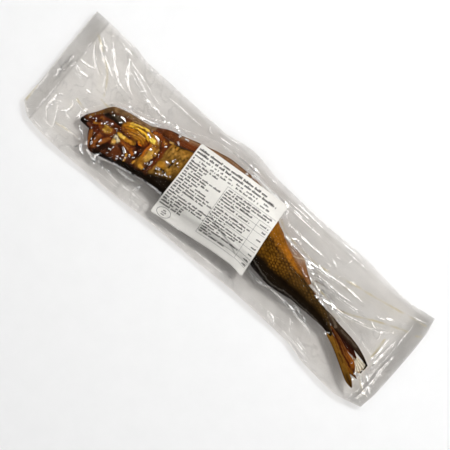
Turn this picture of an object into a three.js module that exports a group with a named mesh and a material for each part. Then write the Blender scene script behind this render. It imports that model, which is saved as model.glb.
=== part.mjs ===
// A whole cold-smoked herring sealed in a clear vacuum pouch, with a paper label stuck over its middle.
//
// Millimetres, +Z up. X runs along the pouch, from the head end (-X) to the tail end (+X). The fish lies
// on its side with its belly towards +Y. The origin is at the middle of the pouch's outline, on the surface
// that the pouch rests on.
//
// The pouch is one solid: two films drawn tight round the fish, which lie together as a thin sheet round
// it. Each face is a stretched skin over the fish, worked out on one grid of points.

import * as THREE from "three";

// ---- Pouch ----
const POUCH_GRID_X = 84; // cells along the pouch
const POUCH_GRID_Y = 30; // cells across it
// Share of the cells used, against share of the way: closest over the head, the tail and the fish's width.
const CELLS_ALONG = [[0, 0], [0.1, 0.12], [0.37, 0.3], [0.62, 0.6], [0.76, 0.8], [0.93, 0.96], [1, 1]];
const CELLS_ACROSS = [[0, 0], [0.12, 0.16], [0.88, 0.84], [1, 1]];
const SHEET = 1.0; // the two films where they lie together, with their small creases
const FILM = 0.3; // one film over the fish
const SEAL_END = 12; // width of the welded band at each end
const SEAL_SIDE = 5; // and along each side
const FREE_SPAN_RADIUS = 6; // how tightly the free film curves down from the fish to the sheet
const SETTLING_ROUNDS = 600;
// The cut edges, each as [place along the edge, place across], in mm.
const BELLY_EDGE = [
  [-167, 45.2], [-130, 44.8], [-114, 42.4], [-43, 42.8], [-15, 47.0], [14, 43.8],
  [57, 43.1], [93, 44.3], [136, 42.2], [162, 46.0],
];
const BACK_EDGE = [
  [-163, -37.6], [-152, -44.8], [-130, -46.9], [-80, -45.0], [-43, -41.9], [0, -40.0],
  [50, -37.3], [93, -37.8], [115, -41.6], [142, -42.6], [166, -36.8],
];
const HEAD_EDGE = [[-38, -163.0], [-24, -163.2], [3, -164.8], [45, -167.2]];
const TAIL_EDGE = [[-37, 165.6], [-23, 167.2], [8, 166.6], [31, 165.2], [46, 161.8]];

// Height of the sheet's middle above the table.
const SHEET_HIGH = 9.0; // beside the fish
const SHEET_LOW = 5.6; // along the cut edges
const EDGE_WAVE = 0.9; // how far the long edges wave up and down
const EDGE_WAVE_LENGTH = 92;
// Folds in the sheet where it is gathered towards the fish's ends: [from, to, height, half width].
const FOLDS = [
  [[-154, 33], [-110, 15], 1.5, 2.6],
  [[-152, 12], [-124, 2], 1.2, 2.4],
  [[-152, -34], [-120, -25], 1.2, 2.6],
  [[-128, 33], [-96, 17], 1.1, 2.6],
  [[-112, -38], [-96, -33], 1.3, 2.4],
  [[160, 37], [86, 16], 1.2, 3.0],
  [[156, 24], [92, 1], 1.3, 2.8],
  [[160, 8], [142, -9], 1.0, 2.4],
  [[164, -28], [146, -24], 1.2, 2.4],
  [[32, 25], [70, 14], 1.1, 2.6],
];

// ---- Fish: outline and thickness along X, from the tip of the jaw to the root of the tail ----
const JAW_TIP = -123.2;
const TAIL_ROOT = 111;
const BELLY = [
  [-123.2, -18.6], [-121.6, -14.8], [-116.3, -5.2], [-112.7, 0.1], [-103.6, 5.6], [-89, 9.4],
  [-70, 17.6], [-44.8, 26.0], [-19.6, 32.4], [-4, 33.2], [10, 31.6], [33.2, 21.0],
  [54.8, 10.7], [76.4, 3.7], [111, -6.6],
];
const BACK = [
  [-123.2, -20.9], [-113.2, -21.6], [-110.6, -26.4], [-107.2, -30.6], [-103.6, -32.8], [-94, -30.6],
  [-70, -25.1], [-44.8, -21.5], [-7.6, -19.1], [36.8, -15.0], [56, -16.7], [76.4, -14.3], [111, -13.8],
];
const THICKNESS = [
  [-123.2, 4], [-116, 9], [-104, 16], [-88, 20.5], [-66, 22.5], [-30, 24.4], [10, 24.0],
  [42, 20], [66, 14.5], [90, 9], [111, 5.5],
];
const MID_HEIGHT = [
  [-123.2, 9.6], [-104, 10.2], [-70, 10.8], [-30, 11.6], [10, 11.4], [42, 10.8], [75, 10.2],
  [111, 9.2], [153, 8.4],
];
const SIDE_ROUNDNESS = 2.3; // 2 is an ellipse, more is flatter with rounder edges

// Belly slit: the near wall ends here, and the far wall, lower down, shows beyond it.
const SLIT = [[-70, 11.6], [-58, 12.8], [-44.8, 17.6], [-20, 25.5], [10, 30.0]];
const SLIT_STEP = 3.2;
const SLIT_SOFTNESS = 2.4;

// ---- Fins: thin blades that reach their half width at the share "full" of their length ----
const FINS = [
  { root: [104, -7.4], tip: [149.6, -12.2], half: 3.6, thick: 2.4, full: 0.45 }, // tail lobe, belly side
  { root: [106, -12.6], tip: [151.6, -31.0], half: 4.6, thick: 2.6, full: 0.6 }, // tail lobe, back side
  { root: [108, -10.2], tip: [143.0, -19.8], half: 4.2, thick: 2.2, full: 0.3 }, // rays between the lobes
  { root: [40, 15.4], tip: [77, 3.6], half: 4.6, thick: 1.8, full: 0.4, lift: 1.2 }, // anal fin
];

// ---- Head relief, on both sides of the head ----
const EYE = { at: [-103.1, -12.6], radius: [5.2, 4.2], height: 1.5 };
const GILL_COVER = { at: [-82.5, -3.5], radius: [18.6, 15.6], height: 1.5 };
const MOUTH = { from: [-114, -15.4], to: [-93, -6.6], width: 2.4, depth: 1.3 };

// ---- Label ----
const LABEL_LENGTH = 77;
const LABEL_WIDTH = 61;
const LABEL_THICKNESS = 0.4;
const LABEL_GAP = 0.3; // between the label and the pouch
const LABEL_AT = [-4.6, 0.4];
const LABEL_TURN = THREE.MathUtils.degToRad(5.5);
const LABEL_CORNER = 2.6;
const LABEL_GRID_X = 20;
const LABEL_GRID_Y = 16;
const LABEL_STIFFNESS = 30; // rounds of evening out

// ---- Small helpers ----
const clamp = (value, low, high) => Math.min(high, Math.max(low, value));
const mix = (a, b, t) => a + (b - a) * t;
const smoothstep = (low, high, value) => {
  const t = clamp((value - low) / (high - low), 0, 1);
  return t * t * (3 - 2 * t);
};

// A smooth function through knots [x, y] with no overshoot between them.
function through(knots) {
  const n = knots.length;
  const step = knots.slice(1).map((k, i) => (k[1] - knots[i][1]) / (k[0] - knots[i][0]));
  const slope = knots.map((_, i) => {
    if (i === 0) return step[0];
    if (i === n - 1) return step[n - 2];
    const [a, b] = [step[i - 1], step[i]];
    return a * b <= 0 ? 0 : (2 * a * b) / (a + b);
  });
  return (x) => {
    const at = clamp(x, knots[0][0], knots[n - 1][0]);
    let i = 0;
    while (i < n - 2 && at > knots[i + 1][0]) i += 1;
    const width = knots[i + 1][0] - knots[i][0];
    const t = (at - knots[i][0]) / width;
    return (
      knots[i][1] * (1 + 2 * t) * (1 - t) ** 2 +
      knots[i + 1][1] * (3 - 2 * t) * t * t +
      slope[i] * width * t * (1 - t) ** 2 -
      slope[i + 1] * width * t * t * (1 - t)
    );
  };
}

const bellyEdge = through(BELLY_EDGE);
const backEdge = through(BACK_EDGE);
const headEdge = through(HEAD_EDGE);
const tailEdge = through(TAIL_EDGE);
const belly = through(BELLY);
const back = through(BACK);
const thickness = through(THICKNESS);
const midHeight = through(MID_HEIGHT);
const slit = through(SLIT);
const cellsAlong = through(CELLS_ALONG);
const cellsAcross = through(CELLS_ACROSS);

// ---- Fish ----
// 1 in the middle of an oval, falling to 0 at its edge.
function oval({ at, radius }, x, y) {
  const r = Math.hypot((x - at[0]) / radius[0], (y - at[1]) / radius[1]);
  return 1 - smoothstep(0.72, 1.0, r);
}

// How far along a segment a point lies, from 0 to 1, and how far from it.
function besideSegment(from, to, x, y) {
  const [dx, dy] = [to[0] - from[0], to[1] - from[1]];
  const t = clamp(((x - from[0]) * dx + (y - from[1]) * dy) / (dx * dx + dy * dy), 0, 1);
  return [t, Math.hypot(x - from[0] - t * dx, y - from[1] - t * dy)];
}

function headRelief(x, y) {
  const beside = besideSegment(MOUTH.from, MOUTH.to, x, y)[1];
  return (
    EYE.height * oval(EYE, x, y) +
    GILL_COVER.height * oval(GILL_COVER, x, y) -
    MOUTH.depth * Math.exp(-((beside / MOUTH.width) ** 2))
  );
}

// Half the body's thickness at (x, y), or 0 outside its outline.
function bodyHalf(x, y) {
  const [low, high] = [back(x), belly(x)];
  if (x <= JAW_TIP || x >= TAIL_ROOT || y <= low || y >= high) return 0;
  const across = Math.abs(2 * y - low - high) / (high - low);
  return (thickness(x) / 2) * Math.sqrt(1 - across ** SIDE_ROUNDNESS);
}

// Half a fin's thickness at (x, y), or 0 outside it.
function finHalf(fin, x, y) {
  const [t, away] = besideSegment(fin.root, fin.tip, x, y);
  const half = fin.half * Math.min(1, t / fin.full + 0.35) * Math.sqrt(1 - t ** 3);
  return away < half ? (fin.thick / 2) * Math.sqrt(1 - (away / half) ** 4) : 0;
}

// The fish's upper and lower height over (x, y), or null where there is no fish.
function fishAt(x, y) {
  const middle = midHeight(x);
  let [top, bottom] = [-Infinity, Infinity];
  const half = bodyHalf(x, y);
  if (half > 0) {
    const slitHere = smoothstep(-72, -62, x) * (1 - smoothstep(6, 22, x));
    const drop = SLIT_STEP * slitHere * smoothstep(0, SLIT_SOFTNESS, y - slit(x));
    const relief = headRelief(x, y) * smoothstep(0, 5, half);
    top = middle + half + relief - Math.min(drop, half);
    bottom = middle - half - relief;
  }
  for (const fin of FINS) {
    const blade = finHalf(fin, x, y);
    if (blade > 0) {
      top = Math.max(top, middle + (fin.lift ?? 0) + blade);
      bottom = Math.min(bottom, middle + (fin.lift ?? 0) - blade);
    }
  }
  return top > bottom ? { top, bottom } : null;
}

// ---- Pouch ----
function pouchPoint(i, j) {
  const [u, v] = [cellsAlong(i / POUCH_GRID_X), cellsAcross(j / POUCH_GRID_Y)];
  const alongHead = headEdge(mix(HEAD_EDGE[0][0], HEAD_EDGE.at(-1)[0], v));
  const alongTail = tailEdge(mix(TAIL_EDGE[0][0], TAIL_EDGE.at(-1)[0], v));
  const x = mix(alongHead, alongTail, u);
  return [x, mix(backEdge(x), bellyEdge(x), v)];
}

// Distance from the nearest cut edge, as a share of the way in to where the sheet is at its highest.
function inward(x, y) {
  const ends = Math.min(x - headEdge(y), tailEdge(y) - x) / 42;
  const sides = Math.min(y - backEdge(x), bellyEdge(x) - y) / 22;
  return smoothstep(0, 1, Math.min(ends, sides));
}

function sheetHeight(x, y) {
  const wave = EDGE_WAVE * Math.sin((2 * Math.PI * (x + 0.6 * y)) / EDGE_WAVE_LENGTH);
  let height = mix(SHEET_LOW + wave, SHEET_HIGH, inward(x, y));
  for (const [from, to, rise, half] of FOLDS) {
    const [t, away] = besideSegment(from, to, x, y);
    height += rise * Math.exp(-((away / half) ** 2)) * (0.45 + 0.55 * Math.sin(Math.PI * t));
  }
  return height;
}

function isWelded(x, y) {
  return (
    Math.min(x - headEdge(y), tailEdge(y) - x) < SEAL_END ||
    Math.min(y - backEdge(x), bellyEdge(x) - y) < SEAL_SIDE
  );
}

// A point in the label's own directions, from its middle.
function onLabel(x, y) {
  const [dx, dy] = [x - LABEL_AT[0], y - LABEL_AT[1]];
  return [
    dx * Math.cos(LABEL_TURN) + dy * Math.sin(LABEL_TURN),
    dy * Math.cos(LABEL_TURN) - dx * Math.sin(LABEL_TURN),
  ];
}


const columns = POUCH_GRID_X + 1;
const rows = POUCH_GRID_Y + 1;
const index = (i, j) => j * columns + i;

// The free skins: between the fish and the sheet each film is stretched, and drawn towards the other one.
// It is stopped by the fish and by the sheet. The label is stiff, so nothing draws the film in under it.
function settledSkins() {
  const cells = [];
  for (let j = 0; j < rows; j += 1) {
    for (let i = 0; i < columns; i += 1) {
      const [x, y] = pouchPoint(i, j);
      const [a, b] = onLabel(x, y);
      const labelled = Math.abs(a) < LABEL_LENGTH / 2 && Math.abs(b) < LABEL_WIDTH / 2;
      const sheet = sheetHeight(x, y);
      const fish = fishAt(x, y);
      const edge = i === 0 || j === 0 || i === columns - 1 || j === rows - 1;
      cells.push({
        x, y,
        fixed: edge || isWelded(x, y),
        draw: labelled ? 0 : 1 / FREE_SPAN_RADIUS,
        over: Math.max(sheet + SHEET / 2, fish ? fish.top + FILM : -Infinity),
        under: Math.min(sheet - SHEET / 2, fish ? fish.bottom - FILM : Infinity),
      });
    }
  }
  const top = cells.map((c) => c.over);
  const bottom = cells.map((c) => c.under);
  // The height at which a stretched film curves by the given amount, from its four neighbours.
  const stretched = (heights, k, curve) => {
    const west = cells[k].x - cells[k - 1].x;
    const east = cells[k + 1].x - cells[k].x;
    const south = cells[k].y - cells[k - columns].y;
    const north = cells[k + columns].y - cells[k].y;
    const sum =
      (heights[k - 1] / west + heights[k + 1] / east) / (west + east) +
      (heights[k - columns] / south + heights[k + columns] / north) / (south + north);
    return (sum - curve / 2) / (1 / (west * east) + 1 / (south * north));
  };
  for (let round = 0; round < SETTLING_ROUNDS; round += 1) {
    for (let j = 1; j < rows - 1; j += 1) {
      for (let i = 1; i < columns - 1; i += 1) {
        const k = index(i, j);
        if (cells[k].fixed) continue;
        top[k] = Math.max(stretched(top, k, cells[k].draw), cells[k].over);
        bottom[k] = Math.min(stretched(bottom, k, -1 / FREE_SPAN_RADIUS), cells[k].under);
      }
    }
  }
  // The fish's weight presses the underside flat on the table.
  return { cells, top, bottom: bottom.map((z) => Math.max(z, 0)) };
}

const skins = settledSkins();

// A closed solid between two grids of points that share their x and y. Each cell is cut along the diagonal
// whose ends differ less in height, so that ridges and folds stay whole.
function slab(across, along, pointAt, topAt, bottomAt) {
  const positions = [];
  const triangles = [];
  const wide = along + 1;
  const layer = wide * (across + 1);
  for (const heightAt of [topAt, bottomAt]) {
    for (let j = 0; j <= across; j += 1) {
      for (let i = 0; i <= along; i += 1) {
        positions.push(...pointAt(i, j), heightAt(i, j));
      }
    }
  }
  const high = (k) => positions[3 * k + 2];
  const quad = (a, b, c, d) => {
    const level = Math.abs(high(a) - high(c)) <= Math.abs(high(b) - high(d));
    triangles.push(...(level ? [a, b, c, a, c, d] : [b, c, d, b, d, a]));
  };
  for (let j = 0; j < across; j += 1) {
    for (let i = 0; i < along; i += 1) {
      const k = j * wide + i;
      quad(k, k + 1, k + wide + 1, k + wide);
      quad(layer + k, layer + k + wide, layer + k + wide + 1, layer + k + 1);
    }
  }
  const wall = (a, b) => quad(a, layer + a, layer + b, b);
  for (let i = 0; i < along; i += 1) {
    wall(i, i + 1);
    wall(across * wide + i + 1, across * wide + i);
  }
  for (let j = 0; j < across; j += 1) {
    wall((j + 1) * wide, j * wide);
    wall(j * wide + along, (j + 1) * wide + along);
  }
  const geometry = new THREE.BufferGeometry();
  geometry.setAttribute("position", new THREE.Float32BufferAttribute(positions, 3));
  geometry.setIndex(triangles);
  geometry.computeVertexNormals();
  return geometry;
}

function pouchGeometry() {
  return slab(
    POUCH_GRID_Y,
    POUCH_GRID_X,
    (i, j) => [skins.cells[index(i, j)].x, skins.cells[index(i, j)].y],
    (i, j) => skins.top[index(i, j)],
    (i, j) => skins.bottom[index(i, j)],
  );
}

// The cell of an even or uneven row of places in which a value lies, and how far along it.
function cellOf(value, count, placeOf) {
  let i = 0;
  while (i < count - 1 && value > placeOf(i + 1)) i += 1;
  return [i, clamp((value - placeOf(i)) / (placeOf(i + 1) - placeOf(i)), 0, 1)];
}

// The pouch's upper face over (x, y), between its grid points.
function pouchTopAt(x, y) {
  const rise = (y - backEdge(x)) / (bellyEdge(x) - backEdge(x));
  const [j, v] = cellOf(rise, POUCH_GRID_Y, (n) => cellsAcross(n / POUCH_GRID_Y));
  const [i, u] = cellOf(x, POUCH_GRID_X, (n) => skins.cells[index(n, j)].x);
  const height = (di, dj) => skins.top[index(i + di, j + dj)];
  return mix(
    mix(height(0, 0), height(1, 0), u),
    mix(height(0, 1), height(1, 1), u),
    v,
  );
}

// ---- Label ----
// A point of the label's grid, with the corner cells drawn in to round the corners.
function labelPoint(i, j) {
  let a = (i / LABEL_GRID_X - 0.5) * LABEL_LENGTH;
  let b = (j / LABEL_GRID_Y - 0.5) * LABEL_WIDTH;
  const overA = Math.abs(a) - (LABEL_LENGTH / 2 - LABEL_CORNER);
  const overB = Math.abs(b) - (LABEL_WIDTH / 2 - LABEL_CORNER);
  if (overA > 0 && overB > 0) {
    const share = Math.max(overA, overB) / Math.hypot(overA, overB);
    a -= Math.sign(a) * overA * (1 - share);
    b -= Math.sign(b) * overB * (1 - share);
  }
  return [
    LABEL_AT[0] + a * Math.cos(LABEL_TURN) - b * Math.sin(LABEL_TURN),
    LABEL_AT[1] + a * Math.sin(LABEL_TURN) + b * Math.cos(LABEL_TURN),
  ];
}

// The pouch's highest point within a label cell round (x, y).
function pouchTopAround(x, y) {
  const heights = [];
  const [da, db] = [LABEL_LENGTH / LABEL_GRID_X / 2, LABEL_WIDTH / LABEL_GRID_Y / 2];
  for (const a of [-2, -1, 0, 1, 2]) {
    for (const b of [-2, -1, 0, 1, 2]) heights.push(pouchTopAt(x + (a * da) / 2, y + (b * db) / 2));
  }
  return Math.max(...heights);
}

// The label's lower face: a stiff sheet lying on the pouch, which bridges the hollows under it.
function labelHeights() {
  const wide = LABEL_GRID_X + 1;
  const least = [];
  for (let j = 0; j <= LABEL_GRID_Y; j += 1) {
    for (let i = 0; i <= LABEL_GRID_X; i += 1) least.push(pouchTopAround(...labelPoint(i, j)) + LABEL_GAP);
  }
  let heights = [...least];
  for (let round = 0; round < LABEL_STIFFNESS; round += 1) {
    heights = heights.map((z, k) => {
      const [i, j] = [k % wide, Math.floor(k / wide)];
      const along = i > 0 && i < LABEL_GRID_X ? [heights[k - 1], heights[k + 1]] : [z];
      const across = j > 0 && j < LABEL_GRID_Y ? [heights[k - wide], heights[k + wide]] : [z];
      const near = [...along, ...across];
      return Math.max(least[k], near.reduce((sum, h) => sum + h, 0) / near.length);
    });
  }
  return heights;
}

function labelGeometry() {
  const heights = labelHeights();
  const under = (i, j) => heights[j * (LABEL_GRID_X + 1) + i];
  return slab(
    LABEL_GRID_Y,
    LABEL_GRID_X,
    labelPoint,
    (i, j) => under(i, j) + LABEL_THICKNESS,
    under,
  );
}

// ---- Object ----
function piece(name, geometry, color, roughness) {
  const material = new THREE.MeshStandardMaterial({ color, roughness, metalness: 0 });
  const mesh = new THREE.Mesh(geometry, material);
  mesh.name = name;
  return mesh;
}

const smokedFish = new THREE.Group();
smokedFish.add(piece("pouch", pouchGeometry(), 0xccc7c0, 0.15));
smokedFish.add(piece("label", labelGeometry(), 0xf1ece2, 0.6));

export default smokedFish;
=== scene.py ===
import math

import bmesh
import bpy
import numpy as np
from mathutils import Matrix


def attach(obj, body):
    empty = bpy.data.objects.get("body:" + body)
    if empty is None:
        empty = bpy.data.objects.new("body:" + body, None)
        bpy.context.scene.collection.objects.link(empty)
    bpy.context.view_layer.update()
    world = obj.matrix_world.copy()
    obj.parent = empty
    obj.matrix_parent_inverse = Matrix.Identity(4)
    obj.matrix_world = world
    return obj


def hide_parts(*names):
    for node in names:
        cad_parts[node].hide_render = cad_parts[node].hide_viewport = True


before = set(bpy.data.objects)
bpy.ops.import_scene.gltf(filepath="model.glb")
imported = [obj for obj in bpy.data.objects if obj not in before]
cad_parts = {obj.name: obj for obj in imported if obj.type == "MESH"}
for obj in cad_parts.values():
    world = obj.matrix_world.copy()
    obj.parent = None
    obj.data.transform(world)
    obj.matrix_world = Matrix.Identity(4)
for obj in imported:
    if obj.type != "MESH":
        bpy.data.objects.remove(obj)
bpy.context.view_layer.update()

# A whole cold-smoked herring in a clear vacuum pouch, with a paper label over its middle.
#
# Places and sizes in the tables are millimetres in the row frame, and MM turns them into metres as a mesh is
# made. X runs from the head to the tail, +Y is the belly's side and +Z is up.

MM = 0.001

# ---------------------------------------------------------------- sizes

# The pouch's cut edges, [along, across].
BELLY_EDGE = [
    (-167, 45.2), (-130, 44.8), (-114, 42.4), (-43, 42.8), (-15, 47.0), (14, 43.8),
    (57, 43.1), (93, 44.3), (136, 42.2), (162, 46.0),
]
BACK_EDGE = [
    (-163, -37.6), (-152, -44.8), (-130, -46.9), (-80, -45.0), (-43, -41.9), (0, -40.0),
    (50, -37.3), (93, -37.8), (115, -41.6), (142, -42.6), (166, -36.8),
]
HEAD_EDGE = [(-38, -163.0), (-24, -163.2), (3, -164.8), (45, -167.2)]
TAIL_EDGE = [(-37, 165.6), (-23, 167.2), (8, 166.6), (31, 165.2), (46, 161.8)]
SHEET_HIGH = 9.0  # the sheet's middle above the table, beside the fish
SHEET_LOW = 5.6  # and along the cut edges
SHEET_RISE = (42, 32)  # it rises over this much from the ends, and from the long edges
EDGE_WAVE = 0.9
EDGE_WAVE_LENGTH = 92
SHEET_GAP = 0.5  # between the two films where they lie together
SEAL_END = 12
SEAL_SIDE = 5
BUBBLES = ((-157.6, 0.5), (3.4, 15), 0)  # a patch of the weld beyond the head: middle, radii and turn
SCUFF = ((-157.4, 1.0), (2.6, 15), 3)
FREE_SPAN_RADIUS = 3.4  # how tightly the free film curves down from the fish
FILM_GAP = 0.22  # between the fish and the film on it
FILM_CELLS = (536, 142)  # of the upper film; the lower one has half as many each way
FILM_SHARES = ([0, 0.12, 0.44, 0.555, 1], [0, 0.125, 0.372, 0.602, 1])  # of the cells, and of the way along
FILM_FROM = -38  # where the film's first row lies across the pouch, and how far the rows span
FILM_SPAN = 83
FILM_ROUNDS = 1400  # of its stretching
LABEL_SUCTION = 0.22  # the share of the vacuum's draw that is left under the label
FOLD_SLOPE = 0.52  # a fold's height as a share of its half width
GLINT_HALF = 1.0
FREE_HAZE = 0.052  # how much of the light the smooth free film mirrors
HAZE_RANGE = (0.0015, 0.7)

# The fish's outline, thickness and height of its middle, from the snout to the root of the tail.
SNOUT = -114.6
TAIL_ROOT = 115.4
BELLY = [
    (-114.6, -19.5), (-112, -16.4), (-107, -11.4), (-100, -6.4), (-94, -1.5), (-88, 5.0), (-80, 11.6),
    (-70, 17.4), (-60.8, 20.4), (-44.8, 26.0), (-19.6, 32.0), (-4, 32.9), (10, 31.2), (33.2, 21.0),
    (54.8, 10.9), (76.4, 3.2), (92, 0.2), (101, -2.6), (107, -6.2), (112, -9.8), (115.4, -12.2),
]
BACK = [
    (-114.6, -20.4), (-113.2, -23.0), (-110.6, -26.8), (-107.2, -30.6), (-103.6, -32.6), (-94, -30.6),
    (-84.8, -28.1), (-70, -25.1), (-58, -22.4), (-44.8, -21.5), (-7.6, -19.1), (36.8, -15.0),
    (45, -16.4), (54, -17.2), (64, -16.3), (78, -13.7), (100, -13.2), (109, -13.6), (115.4, -14.4),
]
THICKNESS = [
    (-114.6, 4), (-112, 9.5), (-104, 15.6), (-88, 19.6), (-66, 22.0), (-30, 23.6), (10, 23.4),
    (42, 19.4), (66, 14), (90, 8.6), (104, 5.2), (111, 3.2), (115.4, 1.4),
]
MID_HEIGHT = [
    (-124, 9.6), (-104, 10.2), (-70, 10.8), (-30, 11.9), (10, 11.8), (42, 10.9), (75, 10.5),
    (100, 10.7), (113, 11.2), (153, 11.6),
]
BODY_CELLS = (224, 400)  # round the body and along it
# Where the body's rings lie: share of them, and place along. They are closest over the head and widest under
# the label.
RING_SHARES = [0, 0.02, 0.42, 0.5, 0.62, 0.99, 1]
RING_PLACES = [SNOUT, SNOUT + 0.6, -60, -46, 36, TAIL_ROOT - 0.4, TAIL_ROOT]
SIDE_ROUNDNESS = 2.3
TABLE_GAP = 0.4  # the fish's flattened underside above the table

# The lower jaw, which stands out beyond the snout.
JAW_TIP = -123.6
JAW_END = -80.0
JAW_CELLS = (96, 130)
JAW_BELLY = [
    (-123.6, -18.4), (-122.4, -14.6), (-119.6, -10.4), (-117.0, -6.0), (-114.6, -1.4), (-111.2, 2.8),
    (-104, 5.9), (-97, 7.6), (-89.6, 8.9), (-80, 11.0),
]
JAW_BACK = [
    (-123.6, -19.6), (-122.6, -21.0), (-116, -21.3), (-112.6, -20.6), (-107, -16), (-94, -9), (-80, -3),
]
JAW_THICKNESS = [(-123.6, 3.4), (-121.5, 6.4), (-114, 9.4), (-104, 13.0), (-92, 16.4), (-80, 17.6)]

# The belly slit: the flank ends along this line, and the far wall shows beyond it, lower down.
SLIT = [(-71, 10.4), (-58, 12.8), (-44.8, 17.6), (-20, 25.0), (10, 29.6), (22, 25.5)]
SLIT_STEP = 3.0
SLIT_END = 24  # where it closes, and the orange belly begins

# Where the dark back and the orange belly end, [along, across].
DARK_EDGE = [
    (-80, -25), (-70, -21), (-63, -17.4), (-55, -12.4), (-45, -8.6), (0, -6.8), (37, -6.2),
    (90, -6.2), (102, -7.0), (113, -11.4),
]
ORANGE_EDGE = [(20, 11), (36, 9.4), (45, 7.6), (55, 5.8), (65, 4.2), (75, 3.4), (82, 2.2), (90, 0)]

SCALE_PITCH = 2.4
SCALE_HEIGHT = 0.16
PLATE_SKIRT = 2.6  # how far the rim of a head bone reaches down into the body
PLATE_RIM = 0.86  # where that rim starts to drop, as a share of the way out
FAN_OVAL = ((-85.5, 0.6), (12.5, 7.6), 6)  # the ridged part of the gill cover: middle, radii and turn
FAN_HINGE = (-82, -10.5)  # the middle of its ridges' rings
FAN_PITCH = 1.75
BLADE_CELLS = (120, 40)  # along a fin and across it

# The label.
LABEL_SIZE = (77.0, 61.0)
LABEL_AT = (-5.2, -0.2)
LABEL_TURN = math.radians(6.7)
LABEL_CORNER = 1.7
LABEL_THICKNESS = 0.25
LABEL_GAP = 0.2
LABEL_CELLS = (128, 102)
LABEL_GRID = (154, 122)  # cells of the heights that it is laid on
LABEL_ROUNDS = 110  # of their smoothing
LABEL_FOOT_RISE = [(-38.5, 0), (-19, 0.9), (1, 2.0), (14, 2.6), (27, 2.5), (38.5, 0)]  # its bent lower edge
PRINT_RISE = 0.07  # the ink above the paper's face
PRINT_SINK = 0.05  # and below it
SEAL_RING = (-30.4, -26.0)  # the middle of the printed oval
SEAL_RADII = (5.1, 3.4)

# ---------------------------------------------------------------- numbers


def through(knots):
    """A smooth function through [x, y] knots with no overshoot between them, for numbers or arrays."""
    xs, ys = np.array(knots, float).T
    step = np.diff(ys) / np.diff(xs)
    slope = np.concatenate([step[:1], np.zeros(len(xs) - 2), step[-1:]])
    same = step[:-1] * step[1:] > 0
    slope[1:-1][same] = 2 * step[:-1][same] * step[1:][same] / (step[:-1][same] + step[1:][same])

    def value(x):
        x = np.clip(x, xs[0], xs[-1])
        i = np.clip(np.searchsorted(xs, x, side="right") - 1, 0, len(xs) - 2)
        width = xs[i + 1] - xs[i]
        t = (x - xs[i]) / width
        return (
            ys[i] * (1 + 2 * t) * (1 - t) ** 2
            + ys[i + 1] * (3 - 2 * t) * t**2
            + slope[i] * width * t * (1 - t) ** 2
            - slope[i + 1] * width * t**2 * (1 - t)
        )

    return value


def ramp(low, high, value):
    """0 below low and 1 above high, or the other way round, with a smooth step between them."""
    t = np.clip((value - low) / (high - low), 0, 1)
    return t * t * (3 - 2 * t)


def swell(value, half=1.0):
    """1 where the value is 0, falling away smoothly on both sides of it."""
    return np.exp(-((value / half) ** 2))


def lumps(x, y, size, seed, octaves=1):
    """Smooth random lumps of about one size, from -1 to 1, with finer ones on them."""
    total, share = 0, 1
    for octave in range(octaves):
        table = np.random.default_rng(seed + octave).uniform(-1, 1, (128, 128))
        gx, gy = np.asarray(x) / size * 2**octave, np.asarray(y) / size * 2**octave
        ix, iy = np.floor(gx).astype(int), np.floor(gy).astype(int)
        fx, fy = ramp(0, 1, gx - ix), ramp(0, 1, gy - iy)
        corner = lambda dx, dy: table[(ix + dx) % 128, (iy + dy) % 128]
        low = corner(0, 0) * (1 - fx) + corner(1, 0) * fx
        high = corner(0, 1) * (1 - fx) + corner(1, 1) * fx
        total = total + share * (low * (1 - fy) + high * fy)
        share /= 2
    return total


def bend(points, steps=8):
    """A smooth curve through the points."""
    points = np.array(points, float)
    if len(points) < 3:
        return points
    far = np.vstack([2 * points[0] - points[1], points, 2 * points[-1] - points[-2]])
    t = np.linspace(0, 1, steps, endpoint=False)[:, None]
    pieces = []
    for a, b, c, d in zip(far, far[1:], far[2:], far[3:]):
        pieces.append(
            0.5 * (2 * b + (c - a) * t + (2 * a - 5 * b + 4 * c - d) * t**2 + (3 * b - a - 3 * c + d) * t**3)
        )
    return np.vstack([*pieces, points[-1:]])


def beside(points, x, y):
    """How far along the points each place lies, from 0 to 1, its distance from them and its side."""
    points = np.array(points, float)
    lengths = np.hypot(*np.diff(points, axis=0).T)
    run = np.concatenate([[0], np.cumsum(lengths)]) / lengths.sum()
    along = np.zeros(np.shape(x))
    away = np.full(np.shape(x), 1e9)
    side = np.zeros(np.shape(x))
    for (ax, ay), (bx, by), start, end in zip(points, points[1:], run, run[1:]):
        dx, dy = bx - ax, by - ay
        t = np.clip(((x - ax) * dx + (y - ay) * dy) / (dx * dx + dy * dy), 0, 1)
        gap = np.hypot(x - ax - t * dx, y - ay - t * dy)
        near = gap < away
        along = np.where(near, start + t * (end - start), along)
        side = np.where(near, np.sign(dx * (y - ay) - dy * (x - ax)), side)
        away = np.where(near, gap, away)
    return along, away, side


def oval(at, radii, turn, x, y):
    """Distance from an oval's middle as a share of its radius, for an oval turned by some degrees."""
    c, s = math.cos(math.radians(turn)), math.sin(math.radians(turn))
    dx, dy = x - at[0], y - at[1]
    return np.hypot((dx * c + dy * s) / radii[0], (dy * c - dx * s) / radii[1])


belly_edge, back_edge = through(BELLY_EDGE), through(BACK_EDGE)
head_edge, tail_edge = through(HEAD_EDGE), through(TAIL_EDGE)
belly, back = through(BELLY), through(BACK)
thickness, mid_height = through(THICKNESS), through(MID_HEIGHT)
jaw_belly, jaw_back, jaw_thickness = through(JAW_BELLY), through(JAW_BACK), through(JAW_THICKNESS)
slit, dark_edge, orange_edge = through(SLIT), through(DARK_EDGE), through(ORANGE_EDGE)
foot_rise = through(LABEL_FOOT_RISE)

# ---------------------------------------------------------------- meshes


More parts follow.
